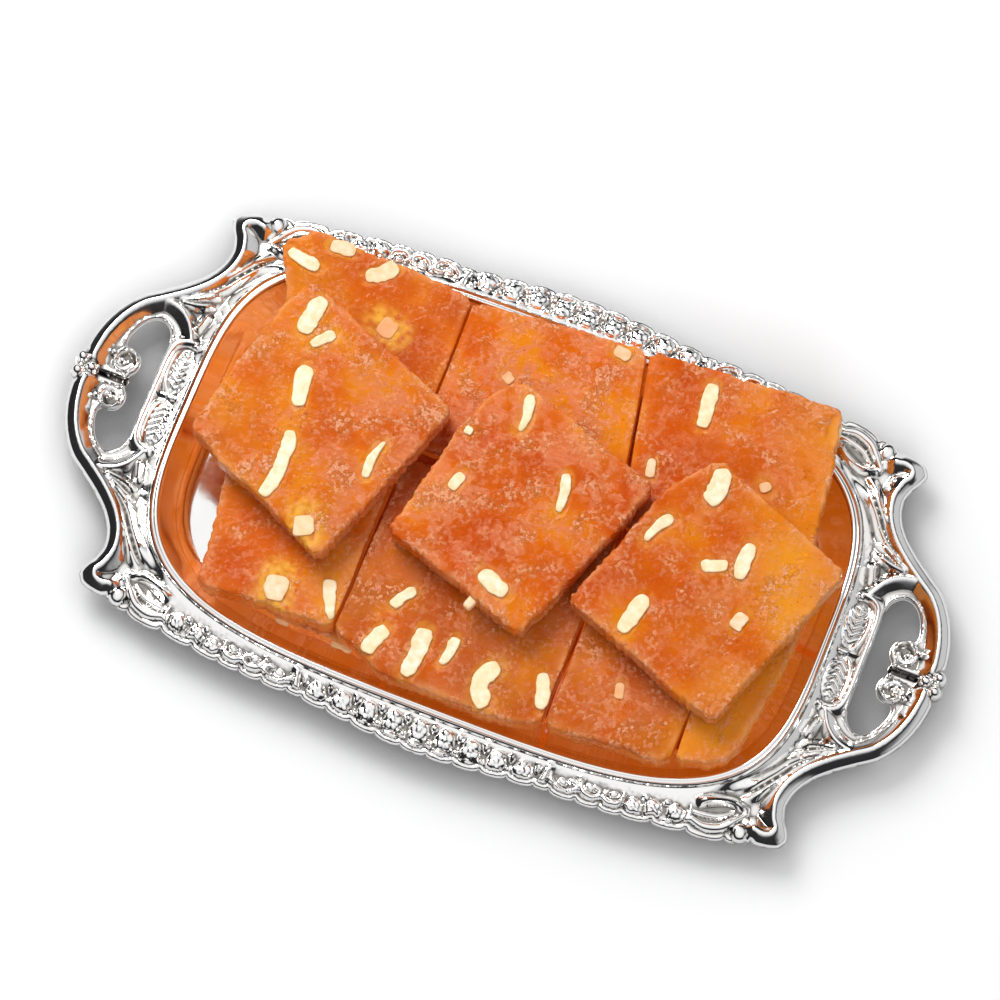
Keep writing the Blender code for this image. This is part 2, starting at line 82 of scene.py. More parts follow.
def srgb(code):
    """An sRGB hex colour as linear red, green, blue and 1."""
    levels = [int(code[i:i + 2], 16) / 255 for i in (1, 3, 5)]
    return (*[c / 12.92 if c <= 0.04045 else ((c + 0.055) / 1.055) ** 2.4 for c in levels], 1.0)


def plug(tree, node, values=(), links=()):
    """Sets the node's sockets to these values and plugs these outputs into it."""
    for socket, value in dict(values).items():
        node.inputs[socket].default_value = value
    for socket, source in dict(links).items():
        tree.links.new(source, node.inputs[socket])


def put_node(tree, kind, values=(), links=(), **settings):
    """One shader node with its settings, its sockets' values and what is plugged into them. The kind is
    Blender's own, without the words it starts with."""
    node = tree.nodes.new("ShaderNode" + kind)
    for setting, value in settings.items():
        setattr(node, setting, value)
    plug(tree, node, values, links)
    return node


def mesh_piece(name, points, faces, replaced, notes=None, sharp=None):
    """A piece made of these points and triangles, riding on the tray, with values per point."""
    mesh = bpy.data.meshes.new(name)
    mesh.vertices.add(len(points))
    mesh.vertices.foreach_set("co", (np.asarray(points) * MM).astype(np.float32).ravel())
    faces = np.asarray(faces, np.int32)
    mesh.loops.add(faces.size)
    mesh.loops.foreach_set("vertex_index", faces.ravel())
    mesh.polygons.add(len(faces))
    mesh.polygons.foreach_set("loop_start", np.arange(0, faces.size, 3, dtype=np.int32))
    mesh.update(calc_edges=True)
    for note, values in (notes or {}).items():
        layer = mesh.attributes.new(note, "FLOAT", "POINT")
        layer.data.foreach_set("value", np.asarray(values, np.float32))
    mesh.shade_smooth()
    if sharp:
        mesh.set_sharp_from_angle(angle=radians(sharp))
    piece = bpy.data.objects.new(name, mesh)
    bpy.context.scene.collection.objects.link(piece)
    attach(piece, "root")
    if replaced:
        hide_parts(*replaced)
    return piece


def smooth_line(corners, spacing):
    """Points about this far apart on a smooth curve through the corners."""
    corners = np.asarray(corners, float)
    before = np.vstack([2 * corners[0] - corners[1], corners[:-2], corners[-2]])[:-1]
    after = np.vstack([corners[2:], 2 * corners[-1] - corners[-2]])
    share = np.linspace(0, 1, 24, endpoint=False)[:, None]
    line = []
    for p0, p1, p2, p3 in zip(before, corners[:-1], corners[1:], after):
        line.append(0.5 * (2 * p1 + (p2 - p0) * share + (2 * p0 - 5 * p1 + 4 * p2 - p3) * share ** 2
                           + (3 * p1 - p0 - 3 * p2 + p3) * share ** 3))
    return even_steps(np.vstack(line + [corners[-1:]]), spacing)


def even_steps(line, spacing):
    """The line again in even steps of about this length."""
    run = np.concatenate([[0], np.cumsum(np.hypot(*np.diff(line, axis=0).T))])
    at = np.linspace(0, run[-1], max(2, int(round(run[-1] / spacing)) + 1))
    return np.stack([np.interp(at, run, line[:, 0]), np.interp(at, run, line[:, 1])], 1)


def nearest(spots, line):
    """How far each spot is from the line, and how far along the line that is, from 0 to 1."""
    away = np.full(len(spots), 1e9)
    along = np.zeros(len(spots))
    legs = np.diff(line, axis=0)
    lengths = np.hypot(*legs.T) + 1e-9
    run = np.concatenate([[0], np.cumsum(lengths)])
    for start, leg, length, so_far in zip(line[:-1], legs, lengths, run):
        step = np.clip((spots - start) @ leg / length ** 2, 0, 1)
        reach = np.hypot(*(spots - start - step[:, None] * leg).T)
        closer = reach < away
        away = np.where(closer, reach, away)
        along = np.where(closer, (so_far + step * length) / run[-1], along)
    return away, along


def inside(spots, loop):
    """Which spots lie inside the closed loop."""
    x, y = spots.T
    within = np.zeros(len(spots), bool)
    for (x0, y0), (x1, y1) in zip(loop, np.roll(loop, -1, axis=0)):
        if y0 != y1:
            within ^= ((y0 > y) != (y1 > y)) & (x < (x1 - x0) * (y - y0) / (y1 - y0) + x0)
    return within


def inward(line, left):
    """Unit normals of the line, on its left or its right."""
    way = np.gradient(line, axis=0)
    way /= np.hypot(*way.T)[:, None] + 1e-12
    return np.stack([-way[:, 1], way[:, 0]], 1) * (1 if left else -1)


def rounding(away, radius):
    """How far a rounded edge has dropped at this distance in from it."""
    short = np.clip(radius - away, 0, radius)
    return radius - np.sqrt(np.maximum(radius ** 2 - short ** 2, 0))


def closed_line(loop):
    """The loop with its first point once more at its end."""
    return np.vstack([loop, loop[:1]])


def grid_inside(loop, spacing, room):
    """An even grid of spots inside a loop, none of them this near to it."""
    spots = honeycomb(loop.min(0), loop.max(0), spacing)
    spots = spots[inside(spots, loop)]
    return spots[nearest(spots, closed_line(loop))[0] > room]


def ease(value, low, high):
    """0 below the low value, 1 above the high one, smooth between them."""
    share = np.clip((value - low) / (high - low), 0, 1)
    return share * share * (3 - 2 * share)


def honeycomb(low, high, spacing):
    """Points of a triangular grid between these corners."""
    rows = np.arange(low[1], high[1], spacing * sqrt(0.75))
    columns = np.arange(low[0], high[0], spacing)
    x, y = np.meshgrid(columns, rows)
    x[1::2] += spacing / 2
    return np.stack([x.ravel(), y.ravel()], 1)


def fill_loop(loop, spots):
    """Triangles over the inside of the loop, using its points first and then the spots."""
    everything = [Vector(spot) for spot in np.vstack([loop, spots])]
    count = len(loop)
    sides = [(i, (i + 1) % count) for i in range(count)]
    _, _, faces, origins, _, _ = delaunay_2d_cdt(everything, sides, [], 1, 1e-6)
    given = np.array([numbers[0] if numbers else -1 for numbers in origins])
    faces = given[np.array(faces)]
    return faces[(faces >= 0).all(1)]


def wander(spots, size, rng, waves=14):
    """A smooth uneven field over the spots, about -1 to 1, whose swells are about this size."""
    total = np.zeros(len(spots))
    for _ in range(waves):
        bearing = rng.uniform(0, tau, spots.shape[1])
        way = rng.normal(0, 1, spots.shape[1])
        way *= tau / (size * rng.uniform(0.7, 1.6)) / np.linalg.norm(way)
        total += np.sin(spots @ way + bearing[0])
    return total / sqrt(waves)


# ---------------------------------------------------------------- tray


def rim_point(angle, outward):
    """Where the rim's curve, moved outward, lies at this angle."""
    across = np.abs(np.cos(angle) / (RIM_HALF_LENGTH + min(outward, 0))) ** RIM_POWER
    along = np.abs(np.sin(angle) / (RIM_HALF_WIDTH + min(outward, 0))) ** RIM_POWER
    reach = (across + along) ** (-1 / RIM_POWER) + max(outward, 0)
    return np.stack([reach * np.cos(angle), reach * np.sin(angle)], -1)


def rim_angles(steps):
    """Angles in a quarter turn that step evenly along the rim, from +X to +Y."""
    angle = np.linspace(0, pi / 2, 4000)
    curve = rim_point(angle, 0.0)
    run = np.concatenate([[0], np.cumsum(np.hypot(*np.diff(curve, axis=0).T))])
    return np.interp(np.linspace(0, run[-1], steps + 1), run, angle)


def ring_band(above, below):
    """Triangles round a closed pair of rows."""
    next_above, next_below = np.roll(above, -1), np.roll(below, -1)
    return np.vstack([np.column_stack([above, below, next_below]),
                      np.column_stack([above, next_below, next_above])])


def band(above, below):
    """Triangles between two open rows, facing away from the metal."""
    return [np.column_stack([above[:-1], above[1:], below[1:]]),
            np.column_stack([above[:-1], below[1:], below[:-1]])]


def make_well(angles):
    """Floor, wall and rim of the well with the back of the same sheet, turned round the middle."""
    quarter, back = angles[:-1], angles[:0:-1]
    around = np.concatenate([quarter, pi - back, pi + quarter, tau - back])
    count = len(around)
    rows = [np.column_stack([rim_point(around, outward), np.full(count, height)])
            for outward, height in WELL_FACE + WELL_BACK]
    points = np.vstack([(0.0, 0.0, SHEET), *rows, (0.0, 0.0, WELL_BACK[-1][1])])
    first = np.arange(1, count + 1)
    last = first + count * (len(rows) - 1)
    faces = [ring_band(first + count * row, first + count * (row + 1)) for row in range(len(rows) - 1)]
    faces.append(np.column_stack([np.zeros_like(first), first, np.roll(first, -1)]))
    faces.append(np.column_stack([last, np.full_like(last, len(points) - 1), np.roll(last, -1)]))
    return points, np.vstack(faces)


def border_edge(x):
    """Y of the smooth line that the border's scallops stand on."""
    swell = 4.5 * (0.5 + 0.5 * cos(pi * min(x / 62.0, 1.0)))
    fall = 11.0 * max(0.0, (x - 60.0) / 80.0) ** 2
    return 96.5 + swell - fall


def scalloped_edge():
    """The border's outer line from the middle of a long side to the tab: one lobe after another."""
    lobes = [(LOBE * (n - 0.5), LOBE * (n + 0.5), 1.6) for n in range(5)]
    lobes += [(49.5, 56.0, 1.0), (56.0, 67.0, 1.8), (67.0, 76.5, 1.5), (76.5, 86.0, 1.5),
              (86.0, 98.0, 1.7), (98.0, 112.0, 2.0), (112.0, 127.5, 2.5), (127.5, 137.5, 2.0),
              (137.5, 149.6, 1.9)]
    feet = {98.0: 92.2, 112.0: 90.2, 127.5: 87.9, 137.5: 85.4, 149.6: 83.2}
    line = []
    for x0, x1, bulge in lobes:
        y0 = feet.get(x0, border_edge(abs(x0)) - 1.3)
        y1 = feet.get(x1, border_edge(x1) - 1.3)
        for share in np.linspace(0.5 if x0 < 0 else 0.0, 1.0, 26)[:-1]:
            rise = bulge * sqrt(1 - abs(2 * share - 1) ** 2.2)
            line.append((x0 + (x1 - x0) * share, y0 + (y1 - y0) * share + rise))
    return np.array(line)


HANDLE_EDGE = ((149.6, 83.4), (150.9, 80.6), (149.7, 77.0), (147.3, 72.6), (146.0, 67.2), (147.4, 60.8),
               (151.4, 54.4), (157.9, 48.1), (165.7, 42.2), (173.3, 36.5), (179.3, 28.4), (183.3, 18.8),
               (185.1, 9.6), (184.6, 6.6), (186.1, 5.6), (187.4, 3.9), (187.4, 1.8), (186.5, 0.0))
GAP_EDGE = ((154.6, 0.0), (154.6, 8.0), (154.5, 16.0), (154.7, 22.0), (156.1, 26.2), (159.5, 29.2),
            (163.5, 29.1), (167.2, 26.2), (169.9, 21.2), (171.0, 16.4), (169.6, 13.6), (166.6, 13.6),
            (163.6, 12.0), (162.2, 8.6), (162.7, 5.2), (164.4, 2.9), (164.0, 1.2), (163.6, 0.0))
CURL = (168.2, 7.9)
ROLL_INSET = 4.7  # from the handle's outer edge to the crest of its roll
TAB_CREST = ((137.4, 81.4), (141.2, 81.9), (144.3, 80.6), (145.0, 77.8))
# Crest that leaves the roll, rounds the gap and ends by the rim
ARC_CREST = ((166.0, 37.0), (160.5, 37.6), (154.8, 35.9), (150.6, 32.6), (148.0, 28.8), (146.4, 25.6))
# Bar along the gap's straight side, turned in over the leaf
BAR_CREST = ((152.9, 0.0), (152.9, 8.0), (152.8, 16.0), (151.5, 21.4), (148.6, 24.0), (145.0, 24.8))
# Ridges that spring from where the arc leaves the roll and spread over the corner
FAN = (
    ((162.5, 40.4), (154.0, 47.0), (147.2, 55.0), (142.6, 63.0), (140.2, 70.0), (139.4, 77.5)),
    ((160.5, 40.0), (151.5, 46.2), (145.0, 52.8), (139.0, 60.6), (134.0, 67.2), (129.0, 72.2)),
    ((158.0, 40.4), (149.0, 44.8), (142.2, 50.4), (137.2, 57.2), (131.6, 63.8), (125.0, 69.4)),
    ((160.0, 39.2), (152.0, 42.0), (146.2, 45.0), (141.8, 48.0)),
    ((158.0, 38.8), (151.0, 39.6), (146.0, 41.0), (142.8, 42.6)),
    ((146.6, 29.6), (144.9, 34.0), (143.6, 39.0)),
    ((131.0, 74.8), (124.6, 73.8), (118.0, 76.2), (112.0, 80.0)),
)


def tray_lines():
    """The quarter's outer line, gap line and the crest of the roll, with the knob or tab last."""
    handle = smooth_line(HANDLE_EDGE, 0.45)
    border = even_steps(np.vstack([scalloped_edge(), handle[:1]]), 0.45)
    outer = np.vstack([border[:-1], handle])
    gap = smooth_line(GAP_EDGE, 0.45)
    outer[0, 0] = gap[0, 1] = gap[-1, 1] = outer[-1, 1] = 0.0
    bends = np.array(HANDLE_EDGE[1:13])
    crest = bends + inward(bends, False) * ROLL_INSET
    crest = np.vstack([TAB_CREST, crest[2:], [(180.6, 4.6)]])
    return outer, gap, smooth_line(crest, 0.8)


def ridge(spots, corners, half_width, height, ends=(1.0, 1.0)):
    """A rounded bar along a smooth line, drawn in towards its ends."""
    away, along = nearest(spots, smooth_line(corners, 1.0))
    width = half_width * (ends[0] + (1 - ends[0]) * ease(along, 0, 0.35))
    width *= ends[1] + (1 - ends[1]) * ease(1 - along, 0, 0.35)
    return height * (width / half_width) * np.sqrt(np.clip(1 - (away / width) ** 2, 0, 1))


def boss(spots, x, y, half_length, half_width, turn, height):
    """A smooth raised oval."""
    dx, dy = spots[:, 0] - x, spots[:, 1] - y
    u = (dx * cos(turn) + dy * sin(turn)) / half_length
    v = (dy * cos(turn) - dx * sin(turn)) / half_width
    return height * np.sqrt(np.clip(1 - u * u - v * v, 0, 1))


def dulled(away, radius):
    """Distance from a crest, with the crest itself rounded off."""
    return np.sqrt(away ** 2 + radius) - sqrt(radius)


def tent(spots, corners, half_width, height):
    """A sharp ridge with straight flanks, lower towards both of its ends."""
    away, along = nearest(spots, smooth_line(corners, 1.0))
    taper = ease(along, -0.2, 0.2) * ease(1 - along, -0.1, 0.25)
    return height * taper * np.clip(1 - dulled(away, 0.2) / half_width, 0, 1)


def pillow(spots, x, y, half_length, half_width, turn, height):
    """A low raised oval with no steep edge."""
    return height * (boss(spots, x, y, half_length, half_width, turn, 1.0) ** 2)


def rose(spots, x, y, radius, height, turn):
    """A blossom: low petals with creases between them round a bud, on a round raised ground."""
    petals = [pillow(spots, x, y, 0.42 * radius, 0.42 * radius, 0.0, 0.75)]
    for petal in range(5):
        bearing = turn + tau * petal / 5
        petals.append(pillow(spots, x + 0.58 * radius * cos(bearing), y + 0.58 * radius * sin(bearing),
                             0.5 * radius, 0.42 * radius, bearing, 0.55))
    return boss(spots, x, y, radius, radius, 0.0, height - 1.3) + 1.6 * np.max(petals, axis=0)


def border_relief(spots):
    """Ornament of the long sides: roses, scrolls, shell and lobes. A list of heights to lay over."""
    forms = []
    for count in range(5):
        x = LOBE * count
        forms.append(rose(spots, x, 92.7 + 0.01 * x, 4.6, 3.0, 0.8 * count))
        # Long smooth seed that fills each lobe beyond its rose
        forms.append(boss(spots, x, 98.6 - 0.03 * x, 3.6, 1.5, 0.0, 2.5))
    for count in range(5):
        x = LOBE * (count + 0.5)
        forms.append(boss(spots, x, 96.6 - 0.022 * x, 1.5, 2.0, 0.0, 2.6))
        forms.append(boss(spots, x, 89.8, 1.5, 2.2, 0.0, 2.0))
    for x, y, radius in ((89.8, 90.4, 3.9), (97.4, 88.0, 3.9), (106.2, 86.4, 3.8)):
        forms.append(rose(spots, x, y, radius, 2.9, x))
    for x, y in ((92.0, 95.0), (98.6, 93.2), (104.6, 91.4), (93.8, 85.4), (102.0, 84.2)):
        forms.append(boss(spots, x, y, 2.0, 1.5, -0.3, 2.3))
    # Dished scrolls, each a bar that follows its lobe and curls in
    for bars in (
        ((54.4, 88.0), (56.4, 92.6), (61.6, 95.0), (66.2, 92.8), (65.8, 89.8), (63.2, 89.8)),
        ((66.8, 87.4), (69.4, 92.0), (74.6, 92.8), (75.8, 89.8), (73.2, 88.8)),
        ((85.0, 87.2), (84.4, 90.8), (80.2, 92.4), (77.2, 90.8), (78.4, 88.6)),
        ((53.8, 87.0), (52.6, 93.0), (51.0, 97.6)),
    ):
        forms.append(ridge(spots, bars, 1.7, 2.9, (0.6, 0.7)))
    for x, y, turn in ((60.4, 91.2, 0.3), (71.4, 89.6, 0.5), (81.2, 88.8, -0.4)):
        forms.append(boss(spots, x, y, 2.6, 1.7, turn, 2.2))
    # Scroll at the corner: a bar round the lobe, a hollow inside it, then the round end of the tab
    for bars, half_width, height in (
        (((132.6, 76.4), (129.2, 80.6), (124.8, 85.2), (118.6, 87.4), (113.0, 86.4)), 2.1, 3.2),
        (((127.6, 77.6), (122.6, 81.4), (116.4, 83.0), (112.0, 83.4)), 1.4, 2.0),
        (((110.6, 90.4), (111.6, 86.0), (111.2, 81.8)), 1.2, 2.0),
    ):
        forms.append(ridge(spots, bars, half_width, height, (0.5, 0.7)))
    forms.append(boss(spots, 132.6, 84.4, 4.2, 3.6, 1.3, 3.2))
    forms.append(boss(spots, 133.2, 80.0, 2.0, 3.4, 0.3, 1.6))
    return forms


def handle_relief(spots):
    """Ornament of a short side beside its crests: fan, leaf and curl; the knob is raised in
    metal_height.
    """
    forms = [tent(spots, bars, 2.4, 3.6) for bars in FAN]
    # Leaf beside the gap, with slanted flutes, and the rosette where two leaves meet
    dx, dy = spots[:, 0] - 145.4, spots[:, 1] - 11.4
    oval = np.clip(1 - (dx / 4.3) ** 2 - (dy / 9.8) ** 2, 0, 1)
    flutes = 0.35 + 0.65 * np.abs(np.sin(pi * (dy / 2.9 - np.abs(dx) / 3.6)))
    forms.append(2.3 * np.sqrt(oval) * flutes)
    outline = ((149.8, 20.6), (150.6, 12.0), (149.4, 5.0), (146.0, 0.8))
    forms.append(tent(spots, outline, 1.5, 1.5))
    forms.append(boss(spots, 143.6, 23.4, 1.7, 1.4, 0.0, 1.9))
    forms.append(boss(spots, 145.0, 0.0, 3.0, 1.5, 0.0, 2.2))
    # Curl: a bar that winds in from the roll's lip to a bead
    turns = []
    for step in range(12):
        angle = radians(150 - 29 * step)
        reach = 4.9 - 0.21 * step
        turns.append((CURL[0] + reach * cos(angle), CURL[1] + reach * sin(angle)))
    forms.append(ridge(spots, turns, 1.45, 2.9, (0.7, 0.8)))
    forms.append(boss(spots, CURL[0] + 1.2, CURL[1] - 0.3, 1.9, 1.8, 0.0, 3.9))
    forms.append(boss(spots, 173.6, 9.6, 1.7, 1.6, 0.0, 3.6))
    return forms


def crest_heights(spots, crest, away_outer):
    """Heights of the handle's roll and of the arc and bar round its gap, and which spots these frame."""
    x = spots[:, 0]
    # Roll: steep to the outside, a long slope to the inside
    away, along = nearest(spots, crest)
    outside = (away_outer < ROLL_INSET + 0.2) & (ease(x, 136.0, 143.0) > 0.4)
    outside &= away + away_outer < ROLL_INSET + 1.6
    roll = ROLL_TOP - 0.5 * ease(along, 0.9, 1.0) - np.where(outside, 0.82, 0.9) * dulled(away, 0.5)
    arc, bar = smooth_line(ARC_CREST, 0.8), smooth_line(BAR_CREST, 0.8)
    leaves_roll = np.argmin(np.hypot(*(crest - arc[0]).T))
    framed = inside(spots, np.vstack([bar, arc[::-1], crest[leaves_roll:]]))
    away, along = nearest(spots, arc)
    arc_band = ARC_TOP - 0.7 * ease(along, 0.5, 1.0) - np.where(framed, 0.8, 1.3) * dulled(away, 0.3)
    away, _ = nearest(spots, bar)
    bar_band = BAR_TOP - np.where(framed, 0.9, 1.4) * dulled(away, 0.5)
    return [np.where(x > 133.0, roll, 0.0), arc_band, bar_band], framed


def metal_height(spots, lines):
    """Top of the border and handles over these spots of a quarter of the tray."""
    outer, gap, crest = lines
    x, y = spots.T
    away_outer, _ = nearest(spots, outer)
    away_gap, _ = nearest(spots, gap)
    away_edge = np.minimum(away_outer, away_gap)
    away_rim, _ = nearest(spots, rim_point(np.linspace(-0.02, pi / 2 + 0.02, 300), RIM_FOOT))
    # Ground, level with the rim's foot and falling outward, matted between the corner's scrolls
    rim_top = WELL_FACE[-1][1]
    across = away_rim / (away_rim + away_edge + 0.5)
    ground = rim_top - 2.1 * ease(across, 0.0, 0.5) - 0.3 * ease(across, 0.5, 1.0)
    grain = np.random.default_rng(5)
    matted = wander(spots, 2.6, grain, 18) * ease(y, 78.0, 84.0) * (1 - ease(x, 108.0, 116.0))
    ground += 0.12 * matted * ease(away_rim, 0.4, 2.0)
    # A straight-sided channel beside the rim of the short sides
    channel = rim_top - 0.85 * np.minimum(away_rim, 4.2)
    ground += (channel - ground) * ease(x, 112.0, 124.0)
    crests, framed = crest_heights(spots, crest, away_outer)
    # Inside the crests the ground lies deeper, with a lip round the gap
    floor = np.where(framed, FRAMED_TOP, ground)
    floor -= 1.2 * framed * ease(x, 164.0, 168.0) * (1 - ease(y, 9.0, 13.0))
    lip = np.sqrt(np.clip(1 - ((away_gap - 0.8) / 0.8) ** 2, 0, 1))
    # Knob: two lobes and a bead; a notch runs in from it between the two curls
    knob = [boss(spots, 184.4, 3.1, 3.1, 3.0, 0.6, 5.0), boss(spots, 179.6, 0.0, 3.2, 2.8, 0.0, 4.6)]
    floor -= framed * ease(x, 164.0, 167.0) * 0.84 * np.clip(2.5 - y, 0, 2.5)
    in_curl = np.hypot(x - CURL[0], y - CURL[1])
    floor -= 1.1 * (1 - ease(in_curl, 3.2, 4.6)) * framed
    relief = np.max(border_relief(spots) + handle_relief(spots) + knob, axis=0)
    # A groove sets off the lip outside the ornament of the long sides
    on_side = 1 - ease(x, *LONG_SIDE)
    groove = 0.5 * on_side * np.exp(-((away_outer - 2.1) / 0.5) ** 2)
    relief *= 1 - on_side * (1 - ease(away_outer, 1.7, 2.7))
    base = np.maximum(floor + lip * framed, 11.0) - groove
    height = base + relief * ease(away_rim, 0.0, 1.2)
    highest = max(top for _, top in WELL_FACE)
    crested = np.max([height, *np.minimum(crests, highest)], axis=0)
    return np.where(x > LONG_SIDE[1], crested, height) - rounding(away_edge, 1.5)


def into_metal(line, loop, ends):
    """Unit normals of an edge, turned into the metal. At its two ends they lie in the planes where the
    quarters of the tray meet."""
    way = inward(line, True)
    middle = len(line) // 2
    if not inside((line[middle] + way[middle] * 0.3)[None], loop)[0]:
        way = -way
    way[[0, -1]] = ends
    return way


def plate_spots(loop, rim, edges, normals, crest):
    """The border's points inside its outline: rows beside every edge and on every crest, so that none
    of them is ragged, and a grid between them."""
    rows = [edges[name] + normals[name] * depth for name in edges for depth in (0.2, 0.55)]
    way = inward(rim, True)
    rows += [rim + way * outward for outward in (0.35, 0.75, 1.2, 1.7, 2.2, 2.7)]
    for line in (crest, *[smooth_line(bars, 0.5) for bars in (ARC_CREST, BAR_CREST, *FAN)]):
        way = inward(line, True)
        rows += [line, line + way * 0.5, line - way * 0.5]
    spots = []
    for some, room, rim_room in ((np.vstack(rows), 0.17, 0.3),
                                 (honeycomb((0.0, 0.0), QUARTER, GRAIN), 0.8, 3.0)):
        some = some[(some > 0.25).all(1)]
        some = some[inside(some, loop)]
        free = nearest_edge(some, edges.values()) > room
        spots.append(some[free & (nearest(some, rim)[0] > rim_room)])
    return spaced(np.vstack(spots), 0.32)


def quarter_plate(angles):
    """A quarter of border and handle as one closed sheet, from the rim's foot to the outer edge."""
    outer, gap, crest = lines = tray_lines()
    rim = rim_point(angles[::-1], RIM_FOOT)
    rim[0, 0] = rim[-1, 1] = 0.0
    edges = {"gap": gap, "edge": outer[::-1]}
    to_gap, to_knob, to_rim = [even_steps(np.array(ends), 0.6)[1:-1] for ends in (
        (rim[-1], gap[0]), (gap[-1], outer[-1]), (outer[0], rim[0]))]
    loop = np.vstack([rim, to_gap, gap, to_knob, edges["edge"], to_rim])
    gap_from = len(rim) + len(to_gap)
    starts = {"gap": gap_from, "edge": gap_from + len(gap) + len(to_knob)}
    normals = {"gap": into_metal(gap, loop, ((-1, 0), (1, 0))),
               "edge": into_metal(edges["edge"], loop, ((-1, 0), (0, -1)))}
    spots = plate_spots(loop, rim, edges, normals, crest)
    flat = np.vstack([loop, spots])
    height = metal_height(flat, lines)
    height[:len(rim)] = WELL_FACE[-1][1]
    points = np.column_stack([flat, height])
    # Skirt down the outer edge and the gap, rolled under at its foot, and the plain back of the sheet
    back_loop = np.column_stack([loop, np.full(len(loop), WELL_BACK[0][1])])
    shown, triangles = [points], [fill_loop(loop, spots)]
    total = len(points)
    lowest = {"rim": np.arange(len(rim))}
    for name, foot in EDGE_FEET:
        row_numbers = starts[name] + np.arange(len(edges[name]))
        tops = points[row_numbers, 2]
        back_loop[row_numbers, :2] = edges[name] + normals[name] * 0.35
        back_loop[row_numbers, 2] = foot
        for share, out in ((0.3, 0.12), (0.65, 0.14), (0.92, 0.0)):
            level = tops + (foot - tops) * share
            shown.append(np.column_stack([edges[name] - normals[name] * out, level]))
            below = np.arange(total, total + len(row_numbers))
            triangles += band(row_numbers, below)
            row_numbers = below
            total += len(below)
        lowest[name] = row_numbers
    back_spots = honeycomb((0.0, 0.0), QUARTER, 2.6)
    back_spots = back_spots[(back_spots > 0.8).all(1)]
    back_spots = back_spots[inside(back_spots, back_loop[:, :2])]
    near = nearest_edge(back_spots, edges.values())
    clear = (near > 1.4) & (nearest(back_spots, rim)[0] > 1.4)
    back_spots, near = back_spots[clear], near[clear]
    metal_above = lowest_near(back_spots, points, 2.8)
    back_height = np.minimum(12.2 + 2.2 * ease(near, 1.4, 3.6), metal_above - 0.8)
    shown += [back_loop, np.column_stack([back_spots, back_height])]
    triangles.append(fill_loop(back_loop[:, :2], back_spots)[:, ::-1] + total)
    for name, start in {**starts, "rim": 0}.items():
        triangles += band(lowest[name], total + start + np.arange(len(lowest[name])))
    return np.vstack(shown), np.vstack(triangles)


def spaced(spots, room):
    """The spots without those that lie within this distance of an earlier one."""
    tree = KDTree(len(spots))
    for number, (x, y) in enumerate(spots):
        tree.insert((x, y, 0.0), number)
    tree.balance()
    kept = np.ones(len(spots), bool)
    for number, (x, y) in enumerate(spots):
        if kept[number]:
            others = [other for _, other, _ in tree.find_range((x, y, 0.0), room)]
            kept[[other for other in others if other > number]] = False
    return spots[kept]


def lowest_near(spots, points, reach):
    """Height of the lowest point within reach of each spot."""
    tree = KDTree(len(points))
    for number, (x, y, _) in enumerate(points):
        tree.insert((x, y, 0.0), number)
    tree.balance()
    near = [[number for _, number, _ in tree.find_range((x, y, 0.0), reach)] for x, y in spots]
    return np.array([points[numbers, 2].min() for numbers in near])


def nearest_edge(spots, lines):
    """How far each spot is from the nearest of the lines."""
    return np.min([nearest(spots, line)[0] for line in lines], axis=0)


def four_quarters(points, faces):
    """The quarter mirrored to all four corners and welded where they meet."""
    whole, triangles = [], []
    for end in (1, -1):
        for side in (1, -1):
            triangles.append((faces if end * side > 0 else faces[:, ::-1]) + len(points) * len(whole))
            whole.append(points * (end, side, 1))
    whole = np.vstack(whole)
    _, first, same = np.unique(np.round(whole, 3), axis=0, return_index=True, return_inverse=True)
    triangles = same.reshape(-1)[np.vstack(triangles)]
    return whole[first], triangles[(triangles != np.roll(triangles, 1, axis=1)).all(1)]


def hollows(points, faces, rounds=10):
    """How far each point lies below the metal around it."""
    ones, others = np.vstack([faces[:, [0, 1]], faces[:, [1, 2]], faces[:, [2, 0]]]).T
    ones, others = np.concatenate([ones, others]), np.concatenate([others, ones])
    level = points[:, 2]
    neighbours = np.maximum(np.bincount(ones, minlength=len(points)), 1)
    for _ in range(rounds):
        level = np.bincount(ones, level[others], len(points)) / neighbours
    return np.clip((level - points[:, 2]) / 0.7, -1, 0.7)


def make_tray(metal):
    """The tray as two closed pieces: the well with its rim, and the border with its handles."""
    angles = rim_angles(150)
    points, faces = make_well(angles)
    notes = {"hollow": np.zeros(len(points))}
    well = mesh_piece("tray_well", points, faces, ["tray"], notes, 50)
    plate, plate_faces = four_quarters(*quarter_plate(angles))
    hollow = hollows(plate, plate_faces)
    across, along = np.abs(plate[:, :2]).T
    # Painted shade: the cleft between the two curls is painted near black through the hollow mark
    painted_notch_shade = ease(across, 163.0, 164.5) * (1 - ease(across, 176.0, 178.0)) * (1 - ease(along, 1.6, 2.6))
    notes = {"hollow": np.maximum(hollow, 2.0 * painted_notch_shade - 1.0)}
    border = mesh_piece("tray_border", plate, plate_faces, ["tray"], notes, 60)
    for piece in (well, border):
        piece.data.materials.append(metal)


# ---------------------------------------------------------------- halwa


